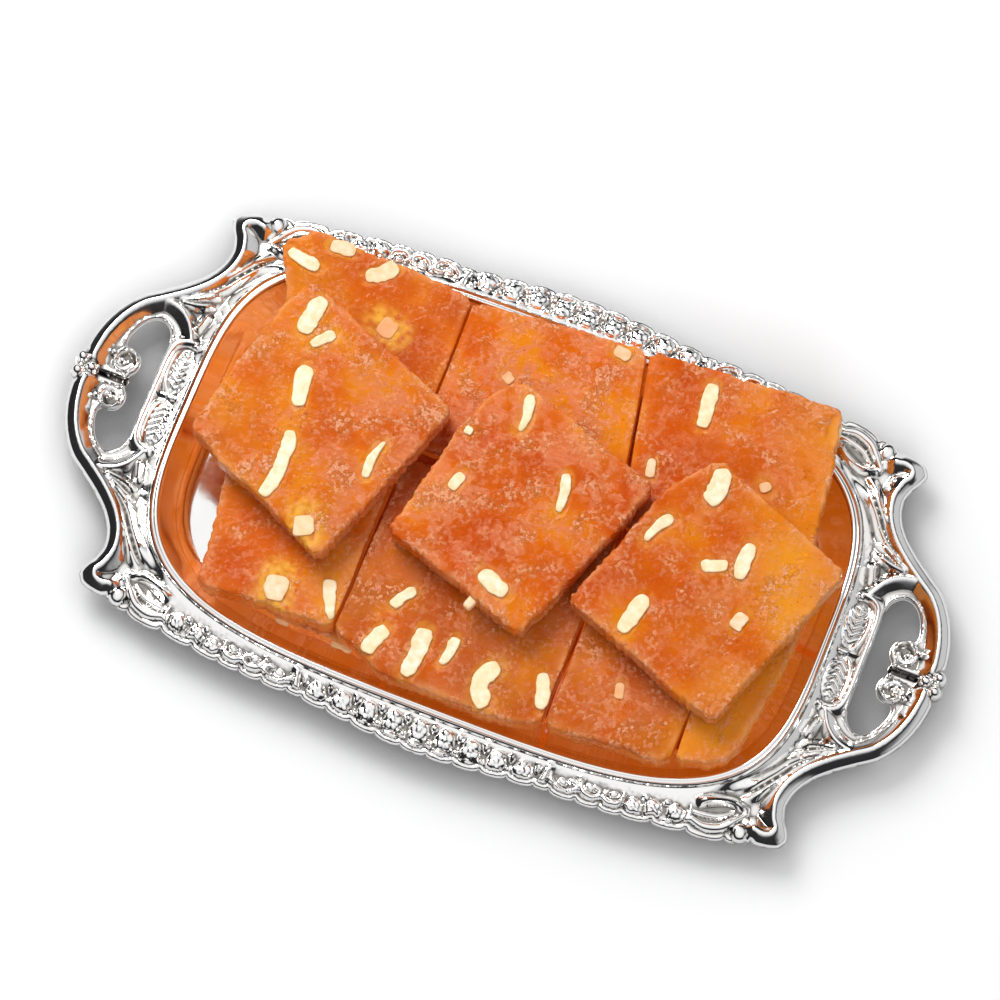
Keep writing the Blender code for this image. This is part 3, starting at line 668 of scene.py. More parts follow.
class Slab:
    """One slab's own frame, read from its solid: flat in x and y, its middle at z 0."""

    def __init__(self, name):
        upper = name.startswith("slab_top")
        back = name.startswith("slab_back")
        self.name = name
        self.slope = UPPER_SLOPE if upper else BACK_SLOPE if back else 0.0
        low = UPPER_LOW if upper else BASE_LOW if "base" in name else MIDDLE_LOW
        self.low = low
        edge = UPPER_EDGE if upper else BACK_EDGE
        tilt = atan(self.slope)
        self.turn = np.array([[1, 0, 0], [0, cos(tilt), -sin(tilt)], [0, sin(tilt), cos(tilt)]])
        self.middle = np.array([0.0, 0.0, low - self.slope * edge + SLAB_THICK / 2 / cos(tilt)])
        self.nuts = []
        self.beside = []
        corners = self.flat(solid_points(name))
        ring = corners[np.abs(corners[:, 2] + SLAB_THICK / 2 - 1.2) < 0.06][:, :2]
        centre = ring.mean(0)
        self.outline = ring[np.argsort(np.arctan2(*(ring - centre).T[::-1]))]

    def flat(self, points):
        """From the tray's frame to the slab's own."""
        return (points - self.middle) @ self.turn

    def placed(self, points):
        """From the slab's own frame to the tray's."""
        return points @ self.turn.T + self.middle


def solid_points(name):
    """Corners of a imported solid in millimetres."""
    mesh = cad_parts[name].data
    points = np.zeros(len(mesh.vertices) * 3, np.float32)
    mesh.vertices.foreach_get("co", points)
    return points.reshape(-1, 3).astype(float) / MM


# How much wider a nut is at its far end than at its near one, by number
NUT_TAPER = {7: 0.5, 10: 0.25, 11: 0.2, 29: -0.5, 31: 0.4, 33: 0.4, 38: 0.4}
# How deep in the jelly a nut shows
NUT_SUNK = {1: 0.4, 2: 0.4, 3: 0.4, 4: 0.6, 5: 0.4, 6: 0.3, 14: 0.7, 16: 0.4, 17: 0.3, 18: 0.85,
            19: 0.6, 20: 0.5, 22: 0.3, 23: 0.5, 25: 0.15, 26: 0.15, 30: 0.3, 32: 0.1, 36: 0.3, 42: 0.25}
# Nuts round which the jelly is painted brightest, as if lit by them
NUT_SHINES = (6, 18, 30)


class Nut:
    """One cashew piece, measured on its solid: where it lies in its slab, and how it bows."""

    def __init__(self, number, slab):
        self.number = number
        self.name = f"nut_{number:02d}"
        points = slab.flat(solid_points(self.name))
        self.slab = slab
        self.middle = (points.max(0) + points.min(0)) / 2
        plan = points[:, :2] - points[:, :2].mean(0)
        _, ways = np.linalg.eigh(plan.T @ plan)
        self.way = ways[:, 1] * (1 if ways[1, 1] > 0 else -1)
        self.aside = np.array([-self.way[1], self.way[0]])
        along = plan @ self.way
        shift = (along.max() + along.min()) / 2
        along -= shift
        across = plan @ self.aside
        bow, lean, rest = np.polyfit(along, across, 2)
        self.half = (along.max() - along.min()) / 2
        self.bow = -1.45 * bow * self.half ** 2
        offset = rest + bow * self.half ** 2
        self.width = np.ptp(across - (bow * along ** 2 + lean * along + rest))
        self.thick = np.ptp(points[:, 2])
        self.start = points[:, :2].mean(0) + self.way * shift + self.aside * offset
        self.taper = NUT_TAPER.get(number, 0.0)
        self.sunk = NUT_SUNK.get(number, 0.0)

    def centre_line(self, share):
        """Points of the bowed middle line for shares from -1 to 1."""
        along = self.half * share
        aside = self.bow * (1 - share ** 2)
        return self.start + along[:, None] * self.way + aside[:, None] * self.aside


def slab_outline(slab, spacing, rng):
    """The slab's cut edge: the solid's, with small nicks and swells along it."""
    line = even_steps(closed_line(slab.outline), spacing)[:-1]
    out = -inward(np.vstack([line[-1:], line, line[:1]]), True)[1:-1]
    free = 1 - touching(slab, line)
    knife = wander(np.column_stack([line, np.zeros(len(line))]), 16.0, rng) * 0.34
    nicks = wander(np.column_stack([line, np.ones(len(line))]), 2.6, rng) * 0.28
    chips = np.clip(wander(np.column_stack([line, line[:, :1]]), 5.0, rng) - 1.0, 0, 1) * 0.5
    return line + out * (free * (knife + nicks - chips - 0.3) + (1 - free) * 0.08)[:, None], out


def touching(slab, spots):
    """1 where another slab of the same layer lies against this one, 0 well away from it."""
    share = np.zeros(len(spots))
    for loop in slab.beside:
        away, _ = nearest(spots, loop)
        share = np.maximum(share, 1 - ease(away, 1.5, 3.5))
    return share


def slab_top(slab, spots, away, rng, crumbs):
    """Height of the slab's upper face, with the marks of pressing, crumbs and burst bubbles."""
    height = np.full(len(spots), SLAB_THICK / 2)
    height += 0.16 * wander(spots, 30.0, rng) + 0.07 * wander(spots, 9.0, rng)
    rough = ease(wander(spots, 17.0, rng), 0.1, 1.3)
    height += (0.02 + 0.09 * rough) * wander(spots, 2.4, rng, 18)
    height += 0.08 * rough * wander(spots, 1.4, rng, 18)
    low, high = spots.min(0), spots.max(0)
    for _ in range(crumbs):
        place = rng.uniform(low, high)
        size = rng.uniform(0.35, 0.9)
        away_crumb = np.hypot(*(spots - place).T)
        near = away_crumb < 3 * size
        if rng.random() < 0.25:
            ring = np.exp(-((away_crumb[near] - 1.1 * size) / 0.35) ** 2)
            height[near] += 0.2 * ring - 0.12 * np.exp(-(away_crumb[near] / size / 0.7) ** 2)
        else:
            height[near] += rng.uniform(0.1, 0.4) * np.exp(-(away_crumb[near] / size) ** 2)
    for nut in slab.nuts:
        reach, _ = nearest(spots, nut.centre_line(np.linspace(-0.9, 0.9, 9)))
        past = reach - nut.width / 2
        low = SLAB_THICK / 2 - 0.3 + 0.25 * nut.sunk
        height += (low - height) * (1 - ease(past, -0.2, 1.2))
        height += 0.08 * np.exp(-((past - 1.1) / 0.7) ** 2)
    worn = np.clip(0.5 + 0.7 * wander(spots, 8.0, rng), 0, 1)
    rough = np.maximum(rough, worn * np.exp(-(away / 2.2) ** 2))
    radius = 1.15 + 0.3 * wander(spots, 12.0, rng)
    radius = np.clip(radius, 0.6, 1.7) * (1 - 0.7 * touching(slab, spots))
    return height - rounding(away, radius), rough


# How much of each slab's face is bloomed with a painted sheen, and how much darker its jelly is painted:
# partly a deeper colour, partly painted shade under the slabs above
SLAB_LOOKS = {
    "slab_top_left": (0.85, 0.15), "slab_top_middle": (1.0, 0.0), "slab_top_right": (0.55, 0.1),
    "slab_back_left": (0.05, 0.4), "slab_back_middle": (0.85, 0.0), "slab_back_right": (0.5, 0.0),
    "slab_front_left": (0.4, 0.1), "slab_front_middle": (0.7, 0.8), "slab_front_right": (0.8, 0.7),
    "slab_end_right": (0.3, 0.0),
}


def facing(faces, flat, up):
    """The triangles over these spots, turned to face up or down."""
    first = flat[faces[0]]
    is_up = np.cross(*(first[1:] - first[0])) > 0
    return faces if is_up == up else faces[:, ::-1]


def jelly_marks(slab, points, closed, rng):
    """What the finish reads at each point: painted light where a nut shines through, at thin edges,
    at the ends over the bright tray and on the cut sides; where the jelly is painted darker, partly as
    shade; and where its bloom lies, with a painted sheen."""
    # Painted light: the jelly round each nut is painted paler, as the pale nut sends light back through
    # it
    glow = np.zeros(len(points))
    for nut in slab.nuts:
        line = nut.centre_line(np.linspace(-0.9, 0.9, 9))
        reach, _ = nearest(points[:, :2], line)
        level = np.exp(-((points[:, 2] - nut.middle[2]) / 5.0) ** 2)
        spread = rng.choice([0.8, 1.2, 2.0])
        strong = nut.number in NUT_SHINES
        halo = np.exp(-(np.maximum(reach - nut.width / 2, 0) / (3.6 if strong else spread)) ** 2)
        glow = np.maximum(glow, level * halo * (1.3 if strong else rng.uniform(0.2, 0.6)))
    glow *= np.clip(0.75 + 0.45 * wander(points, 3.5, rng), 0, 1)
    # Painted light: the free edges are painted paler, as light shines through the thin jelly there
    edge, _ = nearest(points[:, :2], closed)
    thin = np.exp(-(edge / 2.2) ** 2) * np.clip(0.4 + 0.5 * wander(points, 14.0, rng), 0, 1)
    thin *= 1 - touching(slab, points[:, :2])
    # Painted light: the slabs' ends over the bright tray are painted a paler amber, as the metal's light
    # comes up through them
    out = slab.placed(points)[:, 0]
    amber = np.maximum(ease(out, 72.0, 122.0), 0.6 * ease(-out, 84.0, 124.0))
    amber *= np.clip(0.6 + 0.4 * wander(points, 30.0, rng), 0, 1)
    # Painted light: deeper slabs are given more glow on their cut sides, standing in for the light that
    # falls on those above and passes down
    side_light = 1.0 if "base" in slab.name else 0.5 if slab.middle[2] < UPPER_LOW else 0.12
    bloom, depth = SLAB_LOOKS.get(slab.name, (0.6, 0.3))
    bloomed = bloom * np.clip(1.0 + 0.3 * wander(points, 45.0, rng), 0.3, 1.4)
    return {"nut_glow": glow, "thin_edge": thin, "amber": amber, "bloomed": np.clip(bloomed, 0, 1),
            "cut_side": side_light * ease(SLAB_THICK / 2 - points[:, 2], 1.0, 4.0),
            "deep": depth * np.clip(0.8 + 0.35 * wander(points, 22.0, rng), 0, 1)}


def make_slab(slab, jelly, spacing, crumbs):
    """One closed piece of jelly: the upper face, the cut sides and a plain underside."""
    rng = np.random.default_rng(sum(map(ord, slab.name)) * 7)
    loop, out = slab_outline(slab, spacing, rng)
    count = len(loop)
    closed = closed_line(loop)
    inset = np.vstack([loop - out * depth for depth in (0.18, 0.5, 0.95)])
    inset = inset[np.repeat((0.17, 0.47, 0.9), count) <= nearest(inset, closed)[0]]
    inset = inset[inside(inset, loop)]
    spots = np.vstack([inset, grid_inside(loop, spacing, 1.3)])
    flat = np.vstack([loop, spots])
    away, _ = nearest(flat, closed)
    away[:count] = 0.0
    height, rough = slab_top(slab, flat, away, rng, crumbs)
    points = [np.column_stack([flat, height])]
    faces = [facing(fill_loop(loop, spots), flat, True)]
    # Cut sides: rows down to the lower arris, with drag marks of the knife
    total = len(flat)
    above = np.arange(count)
    tops = height[:count]
    rows = 9 if spacing < 1 else 4
    lowest = -SLAB_THICK / 2
    for row in range(1, rows + 1):
        share = row / rows
        level = tops + (lowest + 1.0 - tops) * share
        drag = wander(np.column_stack([loop / 4.0, level[:, None]]), 2.2, rng, 10) * 0.05
        sag = 0.35 * sin(pi * share) - 0.1
        side = loop + out * (drag + sag)[:, None]
        points.append(np.column_stack([side, level]))
        below = np.arange(total, total + count)
        faces.append(ring_band(above, below))
        above = below
        total += count
    foot = loop - out * 0.6
    foot_spots = grid_inside(foot, 4.0, 2.0)
    under = np.vstack([foot, foot_spots])
    points.append(np.column_stack([under, np.full(len(under), lowest)]))
    below = np.arange(total, total + count)
    faces.append(ring_band(above, below))
    faces.append(facing(fill_loop(foot, foot_spots), under, False) + total)
    points = np.vstack(points)
    notes = jelly_marks(slab, points, closed, rng)
    notes["grainy"] = np.full(len(points), 0.3)
    notes["grainy"][:len(flat)] = rough
    piece = mesh_piece(slab.name + "_jelly", slab.placed(points), np.vstack(faces),
                       [slab.name], notes)
    piece.data.materials.append(jelly)


def make_nut(nut, kernel):
    """A split or broken cashew: a bowed bar, full in the middle, its cut ends nearly flat."""
    rng = np.random.default_rng(sum(map(ord, nut.name)) * 13)
    stations, around = 30, 20
    share = np.sin(np.linspace(-pi / 2, pi / 2, stations))
    line = nut.centre_line(share)
    way = np.gradient(line, axis=0)
    way /= np.hypot(*way.T)[:, None]
    aside = np.stack([-way[:, 1], way[:, 0]], 1)
    blunt = rng.uniform(2.8, 4.5)
    fullness = (1 - np.abs(share) ** blunt) ** (1 / blunt)
    fullness = np.maximum(fullness, 0.02) * (1 + nut.taper * (share - 1) / 2 if nut.taper > 0
                                             else 1 + nut.taper * (share + 1) / 2)
    uneven = {}
    for side in (-1, 1):
        strip = np.column_stack([line, np.full(stations, 9.0 * side)])
        uneven[side] = 1 + 0.11 * wander(strip, 9.0, rng) + 0.06 * wander(strip, 3.0, rng)
    points = []
    # The cut face is flat and lies just above the jelly
    shows = nut.middle[2] > SLAB_THICK / 2 - nut.thick
    face = SLAB_THICK / 2 + (0.45 * (1 - 0.9 * nut.sunk) if shows else 0.0)
    for step in range(stations):
        for turn in np.linspace(0, tau, around, endpoint=False):
            c, s = cos(turn), sin(turn)
            wide = nut.width / 2 * fullness[step] * np.sign(c) * abs(c) ** 0.6
            wide *= uneven[1 if c > 0 else -1][step]
            high = nut.thick / 2 * fullness[step] ** 0.5 * np.sign(s) * abs(s) ** 0.4
            level = nut.middle[2] + high
            if s > 0:
                level = min(level, face + 0.25 * high / nut.thick)
            points.append((*(line[step] + aside[step] * wide), level))
    points = np.array(points)
    knobbly = 0.08 * wander(points, 4.5, rng) + 0.03 * wander(points, 1.8, rng)
    centre = np.repeat(np.column_stack([line, np.full(stations, nut.middle[2])]), around, axis=0)
    outward = points - centre
    outward /= np.linalg.norm(outward, axis=1)[:, None] + 1e-9
    points = points + outward * knobbly[:, None]
    faces = []
    for step in range(stations - 1):
        ring = np.arange(step * around, (step + 1) * around)
        faces.append(ring_band(ring, ring + around)[:, ::-1])
    for ring, flip in ((0, False), ((stations - 1) * around, True)):
        fan = np.array([(ring, ring + i, ring + i + 1) for i in range(1, around - 1)])
        faces.append(fan if flip else fan[:, ::-1])
    tone = np.full(len(points), rng.uniform(0, 1))
    steps, turns = np.abs(share), np.abs(np.cos(np.linspace(0, tau, around, endpoint=False)))
    rim = np.maximum(steps[:, None] ** 6, turns[None, :] ** 3 + 0 * steps[:, None]).ravel()
    sunk = np.full(len(points), nut.sunk)
    piece = mesh_piece(nut.name + "_kernel", nut.slab.placed(points), np.vstack(faces)[:, ::-1],
                       [nut.name], {"tone": tone, "rim": rim, "sunk": sunk})
    piece.data.materials.append(kernel)


NUTS_IN = (("slab_base_front_left", 3), ("slab_base_front_right", 2), ("slab_front_left", 2),
           ("slab_front_middle", 6), ("slab_front_right", 1), ("slab_back_left", 4),
           ("slab_back_middle", 2), ("slab_back_right", 4), ("slab_top_left", 6),
           ("slab_top_middle", 6), ("slab_top_right", 6))


def make_halwa(jelly, kernel):
    """All slabs with their nuts. The bottom ones are mostly hidden, so they are coarser."""
    slabs = {name: Slab(name) for name in sorted(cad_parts) if name.startswith("slab_")}
    number = 0
    for name, count in NUTS_IN:
        for _ in range(count):
            number += 1
            slabs[name].nuts.append(Nut(number, slabs[name]))
    for one in slabs.values():
        for other in slabs.values():
            if one is not other and one.middle[2] < UPPER_LOW and abs(one.low - other.low) < 1:
                outline = np.column_stack([other.outline, np.full(len(other.outline), SLAB_THICK / 2)])
                loop = one.flat(other.placed(outline))[:, :2]
                one.beside.append(closed_line(loop))
    for name, slab in slabs.items():
        hidden = "base" in name
        make_slab(slab, jelly, 1.8 if hidden else 0.62, 40 if hidden else 260)
        for nut in slab.nuts:
            make_nut(nut, kernel)


# ---------------------------------------------------------------- finishes


def new_finish(name):
    """A new finish, its tree of nodes and the node that is its surface."""
    finish = bpy.data.materials.new(name)
    finish.use_nodes = True
    tree = finish.node_tree
    return finish, tree, tree.nodes["Principled BSDF"]


def ramp(node, stops):
    """Sets a colour ramp's stops from (place, hex colour)."""
    belt = node.color_ramp
    while len(belt.elements) < len(stops):
        belt.elements.new(0.5)
    for stop, (place, color) in zip(belt.elements, stops):
        stop.position = place
        stop.color = srgb(color)


def silver_plate():
    """Electroplated silver on pressed sheet, buffed: a mirror on the crests, greyer where the mop
    does not reach, and painted near black as shade in the cleft between the curls by the knob."""
    finish, tree, shader = new_finish("silver_plate_buffed")
    where = put_node(tree, "TexCoord")
    hollow = put_node(tree, "Attribute", attribute_name="hollow")
    # Tarnish greys the hollows; the two darkest stops are reached only in the cleft by the knob, as
    # painted shade
    dark = put_node(tree, "ValToRGB", links={0: hollow.outputs["Fac"]})
    ramp(dark, ((0.0, "#F7F6F4"), (0.35, "#E9E6E2"), (0.8, "#6E6964"), (1.0, "#242120")))
    # Haze left by handling, in patches about 12 mm across
    haze = put_node(tree, "TexNoise", {"Scale": 80.0, "Detail": 2.0},
                    {"Vector": where.outputs["Object"]})
    gloss = put_node(tree, "MapRange",
                     {"From Min": 0.3, "From Max": 0.75, "To Min": 0.05, "To Max": 0.13},
                     {"Value": haze.outputs["Fac"]})
    # Ripples of the pressed sheet, about 4 mm
    press = put_node(tree, "TexNoise", {"Scale": 240.0, "Detail": 1.0},
                     {"Vector": where.outputs["Object"]})
    bump = put_node(tree, "Bump", {"Strength": 0.25, "Distance": 0.0001},
                    {"Height": press.outputs["Fac"]})
    plug(tree, shader, {"Metallic": 1.0}, {
        "Base Color": dark.outputs["Color"], "Roughness": gloss.outputs["Result"],
        "Normal": bump.outputs["Normal"]})
    return finish


def halwa_jelly():
    """Cornflour jelly boiled with sugar and ghee, set in a tray and cut: clear, dark orange where it is
    smooth, with a pale salmon bloom, partly a painted sheen, and fine crumbs where the knife and the
    tray have roughed it. Glows painted round the nuts, at thin edges, at the ends over the bright tray
    and on the cut sides stand in for light through the jelly; slabs under others are painted darker as
    shade."""
    finish, tree, shader = new_finish("cornflour_jelly_set")
    where = put_node(tree, "TexCoord").outputs["Object"]
    # The knife's strokes run at a slant, so some patterns are drawn out along them
    slant = put_node(tree, "Mapping", {"Rotation": (0.0, 0.0, 0.75), "Scale": (1.0, 4.5, 1.0)},
                     {"Vector": where}).outputs["Vector"]
    marks = {name: put_node(tree, "Attribute", attribute_name=name).outputs["Fac"]
             for name in ("grainy", "bloomed", "deep", "amber", "thin_edge", "nut_glow", "cut_side")}
    # Depth of the clear jelly, in swells about 34 mm across
    swell = put_node(tree, "TexNoise", {"Scale": 29.0, "Detail": 3.0}, {"Vector": where})
    body = put_node(tree, "ValToRGB", links={0: swell.outputs["Fac"]})
    ramp(body, ((0.34, "#BA4400"), (0.50, "#CC5C00"), (0.62, "#D87A0A")))
    # Bloom with a painted sheen: pale salmon patches about 30 mm across, combed into strokes about 6 mm
    # apart
    patch = put_node(tree, "TexNoise",
                     {"Scale": 36.0, "Detail": 4.0, "Roughness": 0.62, "Distortion": 0.5},
                     {"Vector": where})
    # broken into blocks about 3.5 mm across, because the knife lifts the skin in flakes
    flakes = put_node(tree, "TexVoronoi", {"Scale": 280.0, "Randomness": 1.0}, {"Vector": where})
    broken = put_node(tree, "Math", {1: 0.2}, {0: flakes.outputs["Color"], 2: patch.outputs["Fac"]},
                      operation="MULTIPLY_ADD")
    patches = put_node(tree, "MapRange", {"From Min": 0.57, "From Max": 0.64},
                       {"Value": broken.outputs[0]})
    stroke = put_node(tree, "TexNoise", {"Scale": 160.0, "Detail": 4.0}, {"Vector": slant})
    combed = put_node(tree, "MapRange", {"From Min": 0.38, "From Max": 0.58, "To Min": 0.45},
                      {"Value": stroke.outputs["Fac"]})
    streaked = put_node(tree, "Math", links={0: patches.outputs["Result"], 1: combed.outputs["Result"]},
                        operation="MULTIPLY")
    haze = put_node(tree, "Math", links={0: streaked.outputs[0], 1: marks["bloomed"]},
                    operation="MULTIPLY")
    # Crumbled skin in patches about 14 mm: cells about 1.3 mm with dark cracks between them, only
    # where it is roughed
    cells = put_node(tree, "TexVoronoi", {"Scale": 760.0, "Randomness": 1.0}, {"Vector": where},
                     feature="DISTANCE_TO_EDGE")
    crack = put_node(tree, "MapRange", {"From Min": 0.14, "From Max": 0.02},
                     {"Value": cells.outputs["Distance"]})
    clump = put_node(tree, "TexNoise", {"Scale": 70.0, "Detail": 5.0, "Roughness": 0.72},
                     {"Vector": where})
    clumps = put_node(tree, "MapRange", {"From Min": 0.44, "From Max": 0.56},
                      {"Value": clump.outputs["Fac"]})
    rough = put_node(tree, "MapRange", {"From Max": 0.6, "To Min": 0.3}, {"Value": marks["grainy"]})
    dusty = put_node(tree, "MapRange", {"To Min": 0.35}, {"Value": marks["bloomed"]})
    skinned = put_node(tree, "Math", links={0: clumps.outputs["Result"], 1: rough.outputs["Result"]},
                       operation="MULTIPLY")
    skin = put_node(tree, "Math", links={0: skinned.outputs[0], 1: dusty.outputs["Result"]},
                    operation="MULTIPLY")
    cracks = put_node(tree, "Math", links={0: skin.outputs[0], 1: crack.outputs["Result"]},
                      operation="MULTIPLY")
    # Some of the same cells are pale crumbs: many on the skin and few elsewhere
    grains = put_node(tree, "TexVoronoi", {"Scale": 760.0, "Randomness": 1.0}, {"Vector": where})
    grain = put_node(tree, "MapRange", {"From Min": 0.52, "From Max": 0.62},
                     {"Value": grains.outputs["Color"]})
    spread = put_node(tree, "MapRange", {"From Max": 0.7, "To Min": 0.04}, {"Value": skin.outputs[0]})
    crumbs = put_node(tree, "Math", links={0: grain.outputs["Result"], 1: spread.outputs["Result"]},
                      operation="MULTIPLY")
    # Dark specks about 2 mm where a bubble has burst
    speck = put_node(tree, "TexNoise", {"Scale": 450.0, "Detail": 2.0}, {"Vector": where})
    specks = put_node(tree, "MapRange", {"From Min": 0.68, "From Max": 0.74},
                      {"Value": speck.outputs["Fac"]})
    color = body.outputs["Color"]
    for share, most, shade in (
        # painted sheen: the bloom's pale salmon stands in for the tent's light on a rough, glossy skin
        (haze.outputs[0], 0.9, "#D4784E"),
        (skin.outputs[0], 0.4, "#DA864A"),
        # painted shade: slabs under others are painted darker, partly their deeper colour
        (marks["deep"], 0.85, "#A24A18"),
        # painted light from below at the slabs' ends
        (marks["amber"], 0.75, "#E2901C"),
        # painted light at the thin edges
        (marks["thin_edge"], 0.55, "#E8A468"),
        # painted light round the nuts
        (marks["nut_glow"], 0.7, "#E5A63C"),
        (cracks.outputs[0], 0.45, "#A8481C"),
        (crumbs.outputs[0], 0.75, "#EAA27A"),
        (specks.outputs["Result"], 0.5, "#A83A04"),
    ):
        part = put_node(tree, "Math", {1: most}, {0: share}, operation="MULTIPLY", use_clamp=True)
        color = put_node(tree, "Mix", {"B": srgb(shade)}, {"Factor": part.outputs[0], "A": color},
                         data_type="RGBA").outputs["Result"]
    # Strokes, clumps, cracks and crumbs in one relief, each in millimetres
    relief = None
    for mark, depth in ((stroke.outputs["Fac"], 0.25), (clump.outputs["Fac"], 0.4),
                        (cracks.outputs[0], -0.45), (crumbs.outputs[0], 0.6)):
        links = {0: mark, 2: relief} if relief else {0: mark}
        relief = put_node(tree, "Math", {1: depth, 2: 0.0}, links, operation="MULTIPLY_ADD").outputs[0]
    normal = put_node(tree, "Bump", {"Strength": 0.75, "Distance": MM},
                      {"Height": relief}).outputs["Normal"]
    gloss = put_node(tree, "MapRange", {"To Min": 0.12, "To Max": 0.42}, {"Value": skin.outputs[0]})
    # Painted light: an orange glow on the cut sides stands in for light that has come down through the
    # clear slab and leaves by them
    side_light = put_node(tree, "Math", {1: 0.36}, {0: marks["cut_side"]}, operation="MULTIPLY")
    shader.subsurface_method = "BURLEY"
    plug(tree, shader, {
        "IOR": 1.45, "Specular IOR Level": 0.1, "Emission Color": srgb("#DE6A16"),
        "Subsurface Weight": 0.5, "Subsurface Radius": (1.0, 0.35, 0.06), "Subsurface Scale": 4.0 * MM,
    }, {"Base Color": color, "Roughness": gloss.outputs["Result"], "Normal": normal,
        "Emission Strength": side_light.outputs[0]})
    return finish


def cashew_kernel():
    """Blanched cashew, cut: waxy cream, a little darker along its seams, filmed with ghee."""
    finish, tree, shader = new_finish("cashew_blanched")
    where = put_node(tree, "TexCoord")
    # Mottling of the cut face, about 3 mm
    mottle = put_node(tree, "TexNoise", {"Scale": 330.0, "Detail": 4.0},
                      {"Vector": where.outputs["Object"]})
    flesh = put_node(tree, "ValToRGB", links={0: mottle.outputs["Fac"]})
    ramp(flesh, ((0.35, "#ECD0A4"), (0.52, "#F6E2C2"), (0.66, "#FCF1DC")))
    color = flesh.outputs["Color"]
    # Some are yellower, all are yellower at the rim, and those under the jelly show amber
    for mark, most, shade in (("tone", 0.35, "#F6DCA0"), ("rim", 0.45, "#E8BE78"),
                              ("sunk", 0.95, "#DE8C3C")):
        share = put_node(tree, "Attribute", attribute_name=mark)
        part = put_node(tree, "Math", {1: most}, {0: share.outputs["Fac"]}, operation="MULTIPLY")
        color = put_node(tree, "Mix", {"B": srgb(shade)}, {"Factor": part.outputs[0], "A": color},
                         data_type="RGBA").outputs["Result"]
    bump = put_node(tree, "Bump", {"Strength": 0.3, "Distance": 0.0003},
                    {"Height": mottle.outputs["Fac"]})
    plug(tree, shader, {
        "Roughness": 0.42, "Subsurface Weight": 0.25, "Subsurface Radius": (1.0, 0.7, 0.4),
        "Subsurface Scale": 1.5 * MM,
    }, {"Base Color": color, "Normal": bump.outputs["Normal"]})
    return finish


# ---------------------------------------------------------------- studio


def make_floor():
    """A sheet of white board."""
    mesh = bpy.data.meshes.new("floor")
    # 3 m each way, a twentieth of a millimetre under the tray
    corners = [(3.0 * x, 3.0 * y, -0.05 * MM) for x, y in ((-1, -1), (1, -1), (1, 1), (-1, 1))]
    mesh.from_pydata(corners, [], [(0, 1, 2, 3)])
    floor = bpy.data.objects.new("floor", mesh)
    bpy.context.scene.collection.objects.link(floor)
    finish, tree, shader = new_finish("white_board")
    where = put_node(tree, "TexCoord")
    # Fibres of the board, under 2 mm
    fibre = put_node(tree, "TexNoise", {"Scale": 600.0, "Detail": 0.0},
                     {"Vector": where.outputs["Object"]})
    bump = put_node(tree, "Bump", {"Strength": 0.05, "Distance": 0.0001},
                    {"Height": fibre.outputs["Fac"]})
    # The metal mirrors the white board near it and a dark bench beyond, fading 0.30 to 0.40 m out
    rays = put_node(tree, "LightPath")
    out = put_node(tree, "VectorMath", links={0: where.outputs["Object"]}, operation="LENGTH")
    beyond = put_node(tree, "MapRange", {"From Min": 0.30, "From Max": 0.40},
                      {"Value": out.outputs["Value"]})
    mirrored = put_node(tree, "Mix", {"A": srgb("#D8D8DA"), "B": srgb("#202022")},
                        {"Factor": beyond.outputs["Result"]}, data_type="RGBA")
    # The tray shuts some of the tent's light off the board beside it
    shaded = put_node(tree, "AmbientOcclusion", {"Color": srgb("#CFCFCF"), "Distance": 0.06},
                      samples=1)
    seen = put_node(tree, "Mix", {"A": srgb("#F8F8F8")},
                    {"Factor": rays.outputs["Is Camera Ray"], "B": shaded.outputs["Color"]},
                    data_type="RGBA")
    paper = put_node(tree, "Mix",
                     links={"Factor": rays.outputs["Is Glossy Ray"], "A": seen.outputs["Result"],
                            "B": mirrored.outputs["Result"]}, data_type="RGBA")
    # Lit a little from beneath, so that the white holds to the frame's edge
    from_below = put_node(tree, "Math", {1: 0.33}, {0: rays.outputs["Is Camera Ray"]},
                          operation="MULTIPLY")
    left_over = put_node(tree, "Math", links={0: from_below.outputs[0], 1: shaded.outputs["AO"]},
                         operation="MULTIPLY")
    plug(tree, shader, {
        "Roughness": 0.9, "Specular IOR Level": 0.2, "Emission Color": srgb("#FFFFFF"),
    }, {"Base Color": paper.outputs["Result"], "Normal": bump.outputs["Normal"],
        "Emission Strength": left_over.outputs[0]})
    mesh.materials.append(finish)


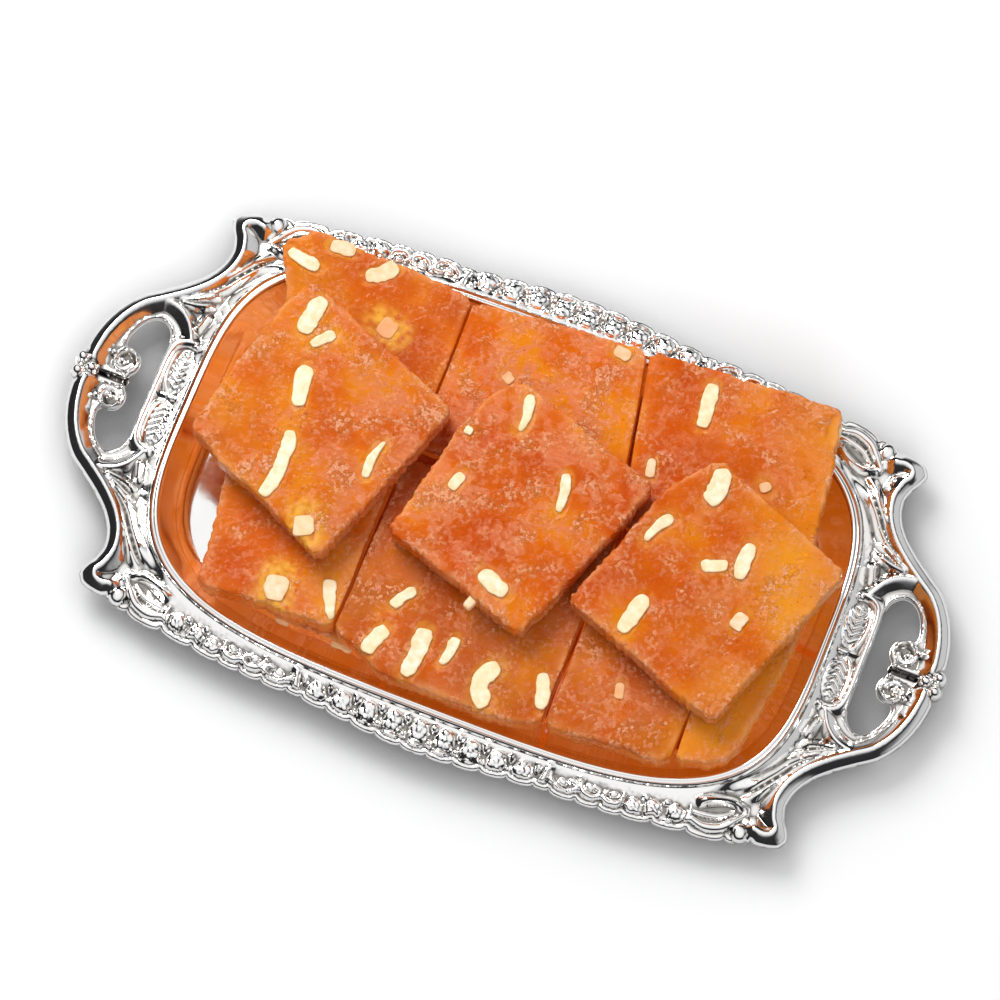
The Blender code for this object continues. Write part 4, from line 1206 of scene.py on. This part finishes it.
def light_studio():
    """A pale tent overhead with an unlit room round its foot, as a polished tray would show it."""
    world = bpy.data.worlds.new("studio")
    world.use_nodes = True
    tree = world.node_tree
    tree.nodes.clear()
    where = put_node(tree, "TexCoord")
    parts = put_node(tree, "SeparateXYZ", links={0: where.outputs["Generated"]})
    tent = put_node(tree, "ValToRGB", links={0: parts.outputs["Z"]})
    ramp(tent, ((0.0, "#28282A"), (0.50, "#2E2E30"), (0.63, "#D0D1D4"), (0.9, "#FFFFFF")))
    # A pale screen stands low to the right of the lens
    right = put_node(tree, "VectorMath", {1: (0.930, 0.366, 0.0)}, {0: where.outputs["Generated"]},
                     operation="DOT_PRODUCT")
    screen = put_node(tree, "MapRange", {"From Min": 0.55, "From Max": 0.75},
                      {"Value": right.outputs["Value"]})
    low = put_node(tree, "MapRange", {"From Min": 0.42, "From Max": 0.3},
                   {"Value": parts.outputs["Z"]})
    both = put_node(tree, "Math", links={0: screen.outputs["Result"], 1: low.outputs["Result"]},
                    operation="MULTIPLY")
    lit = put_node(tree, "Mix", {"B": srgb("#CBCBCD")},
                   {"Factor": both.outputs[0], "A": tent.outputs["Color"]}, data_type="RGBA")
    rays = put_node(tree, "LightPath")
    even = put_node(tree, "MapRange", {"To Min": 1.0, "To Max": 0.7},
                    {"Value": rays.outputs["Is Diffuse Ray"]})
    room = put_node(tree, "Background",
                    links={"Color": lit.outputs["Result"], "Strength": even.outputs["Result"]})
    plain = put_node(tree, "Background", {"Color": srgb("#F6F6F6"), "Strength": 1.0})
    shown = put_node(tree, "MixShader",
                     links={0: rays.outputs["Is Camera Ray"], 1: room.outputs[0], 2: plain.outputs[0]})
    put_node(tree, "OutputWorld", links={"Surface": shown.outputs[0]})
    bpy.context.scene.world = world
    # The key comes over the far left corner, and a weak fill lights the near cut sides
    for name, size, watts, place, mirrored in (
        ("key", 0.7, 15.5, (-0.64, 0.56, 0.98), True),
        ("fill", 0.5, 3.0, (0.50, -0.80, 0.75), False),
    ):
        light = bpy.data.lights.new(name, "AREA")
        light.size = size
        light.energy = watts
        lamp = bpy.data.objects.new(name, light)
        bpy.context.scene.collection.objects.link(lamp)
        lamp.location = place
        lamp.rotation_euler = (-lamp.location).to_track_quat("-Z", "Y").to_euler()
        lamp.visible_glossy = mirrored


def set_camera():
    """Looks down at the tray from 73 degrees up, its long side turned 21.5 degrees."""
    lens = bpy.data.cameras.new("camera")
    lens.sensor_width = 36.0
    lens.lens = 180.0
    lens.shift_x = -0.0048
    lens.shift_y = 0.020
    camera = bpy.data.objects.new("camera", lens)
    bpy.context.scene.collection.objects.link(camera)
    azimuth, elevation = radians(21.5), radians(73.0)
    back = Vector((sin(azimuth) * cos(elevation), -cos(azimuth) * cos(elevation), sin(elevation)))
    camera.location = Vector((0, 0, 0.019)) + back * 2.0
    camera.rotation_euler = (-back).to_track_quat("-Z", "Y").to_euler()
    bpy.context.scene.camera = camera
    bpy.context.scene.view_settings.view_transform = "Standard"


set_camera()
light_studio()
make_floor()
make_tray(silver_plate())
make_halwa(halwa_jelly(), cashew_kernel())
